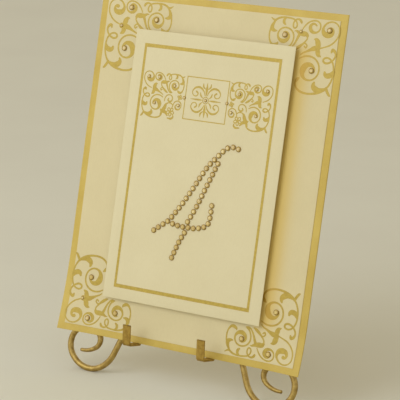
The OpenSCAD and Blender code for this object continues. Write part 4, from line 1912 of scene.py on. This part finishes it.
# Smaller flourishes that fill the header's lower inner corner, from its outer top corner
HEADER_FILL = (
    Stroke(((19.8, 20.2, .5), (20.2, 17.8, .55), (21.8, 15.8, .6), (24.4, 15.4, .6),
            (26.2, 16.9, .6), (26.0, 19.3, .8), (24.2, 20.2, 1.0), (22.8, 19.2, .9),
            (23.2, 18.0, .6))),
    Stroke(((26.8, 25.0, .5), (27.6, 22.0, .55), (29.0, 19.8, .6), (31.6, 19.1, .6),
            (33.8, 20.6, .6), (34.1, 23.1, .6), (32.6, 25.1, .8), (30.3, 25.0, 1.0),
            (29.4, 23.2, .8), (30.4, 21.8, .5))),
    Stroke(((17.6, 30.4, .6), (19.0, 27.6, 2.0), (20.6, 25.0, 2.2), (21.4, 22.6, 1.4),
            (22.8, 21.6, .5))),
    Stroke(((19.2, 27.6, 2.2), (21.6, 28.2, 1.8), (23.6, 30.4, .8))),
    Stroke(((22.6, 21.4, .5), (25.4, 21.2, .6), (27.4, 22.6, .5))),
    Stroke(((24.0, 32.2, .6), (27.0, 32.4, 1.2), (28.6, 31.0, .9), (28.2, 29.6, .4))),
    *rosette(25.8, 27.4, 5, 3.2, .5),
    *rosette(32.4, 16.4, 4, 1.9, .5),
)

# A quarter of the fleuron in the header's square, from its middle
FLEURON_QUARTER = (
    Stroke(((0.9, 3.4, .5), (2.4, 6.6, 1.0), (5.6, 8.9, 1.5), (9.4, 8.4, 1.3), (11.6, 5.6, .8),
            (10.6, 2.9, .7), (8.0, 2.5, .8), (6.9, 4.4, 1.0), (8.3, 5.7, 1.3))),
    Stroke(((2.6, 1.5, .4), (4.4, 3.2, 1.2), (4.9, 5.4, .4))),
    Stroke(((1.0, 8.0, .4), (2.9, 9.6, 1.3), (3.2, 12.0, .4))),
)
FLEURON_AXES = (
    Stroke(((0, 3.0, .4), (0, 7.4, 1.9), (0, 12.6, .3))),
    Stroke(((3.0, 0, .4), (6.4, 0, 1.3), (12.6, 0, .3))),
)


@dataclass
class GoldPrints:
    """Everything printed in gold: corner scrolls, header, ruled frame and the header's square.

    Args:
        stack: the card that is printed.
        header_middle, header_top, header_half: the header's middle, upper edge and half width.
        header_scale: scale of the corner scroll in the header, across and along.
        header_start: place of the corner scroll that comes to the header block's corner.
        header_inset: how far inside that corner it lies.
        square, square_line: the header square's four sides, and the width of its line.
        fleuron_height: height of the fleuron's middle.
        fleuron_ring: radius and line width of the ring in its middle.
        rule: left, right, lower and upper side of the ruled frame.
        rule_line, rule_ink: width of its upright and of its level lines, height of its ink.
        ink_gain, header_gain: scale of the drawn line widths, at the corners and in the header.
        ink_spread, ink_step: how much wider each line is, and how much higher than the last.
        shifts: name, side, whether it is above, and how far inwards each corner's print lies.
    """

    stack: CardStack
    header_middle: float = -0.9
    header_top: float = 198.3
    header_half: float = 54.0
    header_scale: Pair = (0.625, 0.64)
    header_start: Pair = (5.5, 6.0)
    header_inset: float = 0.3
    square: Sequence[float] = (-18.3, 17.3, 166.9, 198.3)
    square_line: Pair = (0.7, 0.7)
    fleuron_height: float = 182.2
    fleuron_ring: Pair = (2.35, .6)
    rule: Sequence[float] = (-57.6, 56.6, 38.2, 218.1)
    rule_line: Pair = (2.0, 2.65)
    rule_ink: float = 0.045
    ink_gain: float = 1.2
    header_gain: float = 0.84
    ink_spread: float = 0.1
    ink_step: float = 0.0008
    shifts: Sequence[tuple[str, int, bool, float]] = (
        ("top_left", -1, True, 1.1), ("top_right", 1, True, -0.5),
        ("bottom_left", -1, False, -1.2), ("bottom_right", 1, False, 1.6))

    def _lay(self, shapes: Sequence[Shape], w: float) -> Shape:
        """Ridges put on the card's plane at height w, each a hair above the one before."""
        lifted = [s.moved(0, 0, w + self.ink_step * i) for i, s in enumerate(shapes)]
        return self.stack.laid(join(lifted))

    def corner(self, side: int, top: bool, shift: float) -> Shape:
        """One corner's scroll, mirrored into its corner.

        Args:
            side: -1 at the left and 1 at the right.
            top: True above.
            shift: how far the print lies inwards of its place.

        Returns:
            The print in the part's frame.
        """
        shapes = []
        for stroke in (*CORNER_SCROLL, LEAF_RING if side < 0 else LEAF_STEM):
            ridge = stroke.redrawn(gain=self.ink_gain, extra=self.ink_spread).ribbon()
            x, y, z = ridge.points.T
            u, v = side * (self.stack.width / 2 - x - shift), CARD_HEIGHT - y if top else y
            turned = ridge.mapped(np.stack([u, v, z], -1))
            shapes.append(turned if (side < 0) != top else turned.flipped())
        return self._lay(shapes, 0)

    def header_block(self, side: int) -> Shape:
        """One block of the header: the corner scroll again, smaller, with its filling.

        Args:
            side: -1 at the left and 1 at the right.

        Returns:
            The print in the part's frame.
        """
        (sx, sy), (x0, y0) = self.header_scale, self.header_start
        strokes = [s.redrawn((sx, sy), (self.header_inset - x0 * sx, -y0 * sy), self.header_gain,
                             self.ink_spread) for s in CORNER_SCROLL]
        strokes += [s.redrawn(gain=self.ink_gain, extra=self.ink_spread) for s in HEADER_FILL]
        placed = []
        for ridge in (stroke.ribbon(5) for stroke in strokes):
            x, y, z = ridge.points.T
            u = self.header_middle + side * (self.header_half - x)
            turned = ridge.mapped(np.stack([u, self.header_top - y, z], -1))
            placed.append(turned.flipped() if side < 0 else turned)
        return self._lay(placed, self.stack.raised_front)

    def fleuron(self) -> Shape:
        """The ornament in the header's square: a quarter of it, mirrored into all four.

        Returns:
            The print in the part's frame.
        """
        strokes = [ring_stroke(0, 0, *self.fleuron_ring)]
        upright, level = FLEURON_AXES
        for sx in (-1, 1):
            strokes += [s.redrawn((sx, sy)) for sy in (-1, 1) for s in FLEURON_QUARTER]
            strokes += [upright.redrawn((1, sx)), level.redrawn((sx, 1))]
        moved = [s.ribbon().moved(self.header_middle, self.fleuron_height, 0) for s in strokes]
        return self._lay(moved, self.stack.raised_front)

    def ruled(self, edges: Sequence[float], line: Pair) -> Shape:
        """A rectangular ruled line with mitred corners: a flat ring of four sides.

        Args:
            edges: left, right, lower and upper outer edge.
            line: width of the upright and of the level lines.

        Returns:
            The closed frame in the part's frame.
        """
        left, right, low, high = edges
        outer = np.array([[left, low], [right, low], [right, high], [left, high]])
        inner = outer + np.array([[1, 1], [-1, 1], [-1, -1], [1, -1]]) * line
        front = self.stack.raised_front
        rings = [np.c_[outline, np.full(4, front + height)] for outline, height in (
            (outer, -INK_SUNK), (outer, self.rule_ink), (inner, self.rule_ink), (inner, -INK_SUNK))]
        return CARD_PLANE.lay(loop_shape(np.array(rings)))

    def build(self, finishes: Finishes) -> None:
        """Builds and dresses the prints.

        Args:
            finishes: the materials.
        """
        prints = {f"{name}_scroll_print": self.corner(side, top, shift)
                  for name, side, top, shift in self.shifts}
        # The corner prints carry the same painted warm shadow as the panel
        shades = {name: self.stack.painted_warm_shadow(shape) for name, shape in prints.items()}
        prints["left_header_print"] = self.header_block(-1)
        prints["right_header_print"] = self.header_block(1)
        prints["header_square_print"] = self.ruled(self.square, self.square_line)
        prints["header_fleuron_print"] = self.fleuron()
        prints["ruled_frame_print"] = self.ruled(self.rule, self.rule_line)
        for name, shape in prints.items():
            Piece(name, Body.CARD, Slot.BOARD, finishes.print).make(shape, shade=shades.get(name))


@dataclass
class Stones:
    """Cut stones in the places of the frame's own stones.

    Args:
        nodes: the CAD nodes that hold stones.
        seed: start of the random turns and facet tones.
        facets: how many facets of a kind go round a stone.
        girdle: radius and height of a stone's widest ring, for a stone of diameter 1.
        kites: radius and height of the ring of the kite facets' outer corners.
        table: radius and height of the flat top.
        foot: height of the stone's lowest point.
        tones: lowest and highest painted tone of each kind of facet: at the girdle, kites, stars,
            table
        and underneath, dark at the girdle and underneath and pale on top, as painted light and
        shade.
        cup: height and radius of each ring of the cup round a stone, from its foot.
        cup_sides: points round the cup.
    """

    nodes: Sequence[str] = (
        "number_stones", "left_header_stones", "right_header_stones", "header_square_stones",
        "top_left_corner_stones", "top_right_corner_stones", "bottom_left_corner_stones",
        "bottom_right_corner_stones")
    seed: int = 11
    facets: int = 8
    girdle: Pair = (0.455, 0.12)
    kites: Pair = (0.37, 0.25)
    table: Pair = (0.28, 0.34)
    foot: float = 0.02
    tones: Sequence[Pair] = ((0.1, 0.3), (0.42, 0.9), (0.42, 0.9), (0.44, 0.92), (0.0, 0.1))
    cup: Sequence[Pair] = ((0.0, 0.515), (0.05, 0.53), (0.10, 0.53), (0.145, 0.505),
                             (0.15, 0.47), (0.10, 0.445))
    cup_sides: int = 20

    @staticmethod
    def places(node: Object) -> np.ndarray:
        """Middle, base and diameter of every stone of a CAD node.

        The loose triangles are welded by place, and a label is passed along their edges until
        every stone has one label of its own.

        Args:
            node: the CAD node.

        Returns:
            Rows of u, v, w of the base and diameter.
        """
        mesh = node.data
        co = np.zeros(len(mesh.vertices) * 3)
        mesh.vertices.foreach_get("co", co)
        co = co.reshape(-1, 3) / MM
        corners = np.zeros(len(mesh.loops), np.int32)
        mesh.loops.foreach_get("vertex_index", corners)
        _, welded = np.unique(np.round(co, 3), axis=0, return_inverse=True)
        welded = welded.ravel()
        faces = welded[corners].reshape(-1, 3)
        label = np.arange(welded.max() + 1)
        while True:
            new = label.copy()
            np.minimum.at(new, faces.ravel(), np.repeat(label[faces].min(1), 3))
            if (new == label).all():
                break
            label = new
        names, stone = np.unique(label[welded], return_inverse=True)
        uvw = CARD_PLANE.find(co)
        low, high = np.full((len(names), 3), np.inf), np.full((len(names), 3), -np.inf)
        np.minimum.at(low, stone, uvw)
        np.maximum.at(high, stone, uvw)
        middle = (low + high) / 2
        return np.stack([middle[:, 0], middle[:, 1], low[:, 2], high[:, 0] - low[:, 0]], -1)

    def crystal(self) -> Shape:
        """A cut stone of diameter 1 standing on z = 0: girdle, crown facets, star and table.

        Each ring has its points evenly round, those of the kites half a step on.

        Returns:
            The closed stone, with one array of faces to each kind of facet.
        """
        n = self.facets
        a = np.arange(n) * 2 * np.pi / n

        def ring(size: Pair, angle: np.ndarray) -> np.ndarray:
            """Points of one ring."""
            return np.stack([size[0] * np.cos(angle), size[0] * np.sin(angle),
                             np.full(len(angle), size[1])], -1)

        half = a + np.pi / n
        points = np.concatenate([ring(self.girdle, np.stack([a, half], -1).ravel()),
                                 ring(self.kites, half), ring(self.table, a), [[0, 0, self.foot]]])
        j = np.arange(n)
        k = (j + 1) % n
        mid, table, base = 2 * n, 3 * n, 4 * n
        kites = np.stack([mid + (j - 1) % n, 2 * j, mid + j, table + j], -1)
        stars = np.stack([table + j, mid + j, table + k], -1)
        around = np.arange(2 * n)
        under = np.stack([(around + 1) % (2 * n), around, np.full(2 * n, base)], -1)
        girdles = np.concatenate([np.stack([2 * j, 2 * j + 1, mid + j], -1),
                                  np.stack([2 * j + 1, 2 * k, mid + j], -1)])
        return Shape(points, [girdles, kites, stars, (table + j)[None], under])

    def build(self, finishes: Finishes, nodes: dict[str, Object], stack: CardStack) -> None:
        """Builds and dresses the stones.

        Args:
            finishes: the materials.
            nodes: the CAD nodes by name.
            stack: the card that they are set on.
        """
        rng = np.random.default_rng(self.seed)
        crystal = self.crystal()
        cup = tube_shape(turned_rings(self.cup, self.cup_sides)[..., [1, 2, 0]])
        low, high = np.repeat(self.tones, [len(f) for f in crystal.faces], 0).T
        for node in self.nodes:
            crystals, cups = [], []
            for u, v, w, d in self.places(nodes[node]):
                turn = rng.uniform(0, math.pi / 4)
                c, s = math.cos(turn), math.sin(turn)
                turned = crystal.points @ np.array([[c, s, 0], [-s, c, 0], [0, 0, 1]])
                crystals.append(crystal.mapped(turned * d + [u, v, w]))
                cups.append(cup.mapped(cup.points * d + [u, v, w]))
            # Painted light and shade of each facet, drawn within the range of its kind
            tone = rng.uniform(np.tile(low, len(crystals)), np.tile(high, len(crystals)))
            stem = node.replace("_stones", "")
            Piece(f"{stem}_crystals", Body.CARD, Slot.CRYSTAL, finishes.crystal, (node,),
                  Smooth.FACET).make(stack.laid(join(crystals)), tone)
            Piece(f"{stem}_stone_cups", Body.CARD, Slot.CRYSTAL, finishes.backing).make(
                stack.laid(join(cups)))


# --- Scene ---


@dataclass
class Studio:
    """Camera, ground and soft light.

    Args:
        place: the camera's place.
        forward: the direction that it looks in.
        lens, sensor: focal length and width of the sensor.
        clip: nearest and farthest distance that is seen, in metres.
        ground_size: half the ground's width, in metres.
        key_place, key_aim: place of the main light, and the place that it shines at.
        key_size, key_power, key_colour: its size, its power in watts and its colour.
        fill, fill_colour: strength from the left and from the right and colour of the light from
            all round.
    """

    place: Sequence[float] = (727.3, CARD_PLANE.y - 1169.965, 529.4)
    forward: Sequence[float] = (-0.498, 0.824, -0.270)
    lens: float = 182.06
    sensor: float = 36.0
    clip: Pair = (0.05, 50.0)
    ground_size: float = 6.0
    key_place: Sequence[float] = (-650.0, -1200.0, 950.0)
    key_aim: Sequence[float] = (0.0, 0.0, 130.0)
    key_size: float = 1300.0
    key_power: float = 8.35
    key_colour: Colour = (0.93, 0.96, 1.0)
    fill: Pair = (0.635, 0.537)
    fill_colour: Colour = (1.0, 0.903, 0.70)

    @staticmethod
    def put(name: str, data: bpy.types.ID, place: Optional[Vector] = None,
            forward: Optional[Vector] = None) -> Object:
        """Makes an object of the scene that isn't part of the model.

        Args:
            name: its name.
            data: its mesh, light or camera.
            place: where it stands, or None at the origin.
            forward: the direction that it looks or shines in.

        Returns:
            The object.
        """
        made = bpy.data.objects.new(name, data)
        bpy.context.scene.collection.objects.link(made)
        if place is not None:
            made.location = place * MM
            made.rotation_mode = "QUATERNION"
            made.rotation_quaternion = forward.to_track_quat("-Z", "Y")
        return made

    def camera(self) -> None:
        """Makes the camera and hands it to the scene."""
        data = bpy.data.cameras.new("camera")
        data.lens, data.sensor_width = self.lens, self.sensor
        data.clip_start, data.clip_end = self.clip
        bpy.context.scene.camera = self.put("camera", data, Vector(self.place),
                                            Vector(self.forward))

    def ground(self, material: Material) -> None:
        """Makes the plain ground: one square.

        Args:
            material: its finish.
        """
        mesh = bpy.data.meshes.new("ground")
        r = self.ground_size
        mesh.from_pydata([(-r, -r, 0), (r, -r, 0), (r, r, 0), (-r, r, 0)], [], [(0, 1, 2, 3)])
        mesh.materials.append(material)
        self.put("ground", mesh)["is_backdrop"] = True

    def key(self) -> None:
        """Makes the main light, a large soft disc."""
        data = bpy.data.lights.new("key_light", "AREA")
        data.shape, data.size = "DISK", self.key_size * MM
        data.energy, data.color = self.key_power, self.key_colour
        place = Vector(self.key_place)
        self.put("key_light", data, place, Vector(self.key_aim) - place)

    def surround(self) -> None:
        """Makes the light from all round, seen and mirrored as plain white."""
        world = bpy.data.worlds.new("soft_surround")
        world.use_nodes = True
        bpy.context.scene.world = world
        nodes, link = world.node_tree.nodes, world.node_tree.links.new
        nodes.clear()
        light, seen = nodes.new("ShaderNodeBackground"), nodes.new("ShaderNodeBackground")
        light.inputs["Color"].default_value = (*self.fill_colour, 1)
        seen.inputs["Color"].default_value = (1.0, 1.0, 1.0, 1)
        direction, parts = nodes.new("ShaderNodeTexCoord"), nodes.new("ShaderNodeSeparateXYZ")
        strength = nodes.new("ShaderNodeMapRange")
        for name, value in zip(("From Min", "From Max", "To Min", "To Max"), (-1, 1, *self.fill)):
            strength.inputs[name].default_value = value
        link(direction.outputs["Generated"], parts.inputs["Vector"])
        link(parts.outputs["X"], strength.inputs["Value"])
        link(strength.outputs["Result"], light.inputs["Strength"])
        path, mix = nodes.new("ShaderNodeLightPath"), nodes.new("ShaderNodeMixShader")
        direct = path.outputs["Is Camera Ray"]
        for ray in ("Is Glossy Ray", "Is Transmission Ray"):
            either = nodes.new("ShaderNodeMath")
            either.operation = "MAXIMUM"
            link(direct, either.inputs[0])
            link(path.outputs[ray], either.inputs[1])
            direct = either.outputs["Value"]
        link(direct, mix.inputs["Fac"])
        link(light.outputs["Background"], mix.inputs[1])
        link(seen.outputs["Background"], mix.inputs[2])
        link(mix.outputs["Shader"], nodes.new("ShaderNodeOutputWorld").inputs["Surface"])

    def build(self, finishes: Finishes) -> None:
        """Builds camera, ground and light.

        Args:
            finishes: the materials.
        """
        self.camera()
        self.ground(finishes.ground)
        self.key()
        self.surround()
        bpy.context.scene.view_settings.view_transform = "Standard"


class TableNumberHolder:
    """The whole object."""

    def __init__(self, loaded: dict) -> None:
        """Keeps the frame.
        """
        self.nodes: dict[str, Object] = loaded["nodes"]
        self.finishes = Finishes()
        self.stack = CardStack()

    def build(self) -> None:
        """Builds every piece."""
        hooks, hinge = CardHooks(), Hinge()
        ScrollLegs().build(self.finishes)
        hooks.build(self.finishes)
        RestBars().build(self.finishes, hooks)
        hinge.build(self.finishes)
        RearLeg(hinge).build(self.finishes)
        self.stack.build(self.finishes)
        GoldPrints(self.stack).build(self.finishes)
        Stones().build(self.finishes, self.nodes, self.stack)


def clear_start_scene() -> None:
    """Removes the objects that a new scene starts with."""
    for name in ("Cube", "Light", "Camera"):
        found = bpy.data.objects.get(name)
        if found is not None and name not in frame["nodes"]:
            bpy.data.objects.remove(found, do_unlink=True)


def corners(box: tuple[Vector, Vector]) -> list[list[float]]:
    """A box as plain lists."""
    return [[float(x) for x in corner] for corner in box]


def main() -> None:
    """Builds the object and its studio."""
    logging.basicConfig(level=logging.INFO, format="%(name)s %(message)s")
    clear_start_scene()
    before = corners(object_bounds())
    holder = TableNumberHolder(frame)
    holder.build()
    Studio().build(holder.finishes)
    {"cad": before, "visual": corners(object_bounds())}


if __name__ == "__main__":
    main()
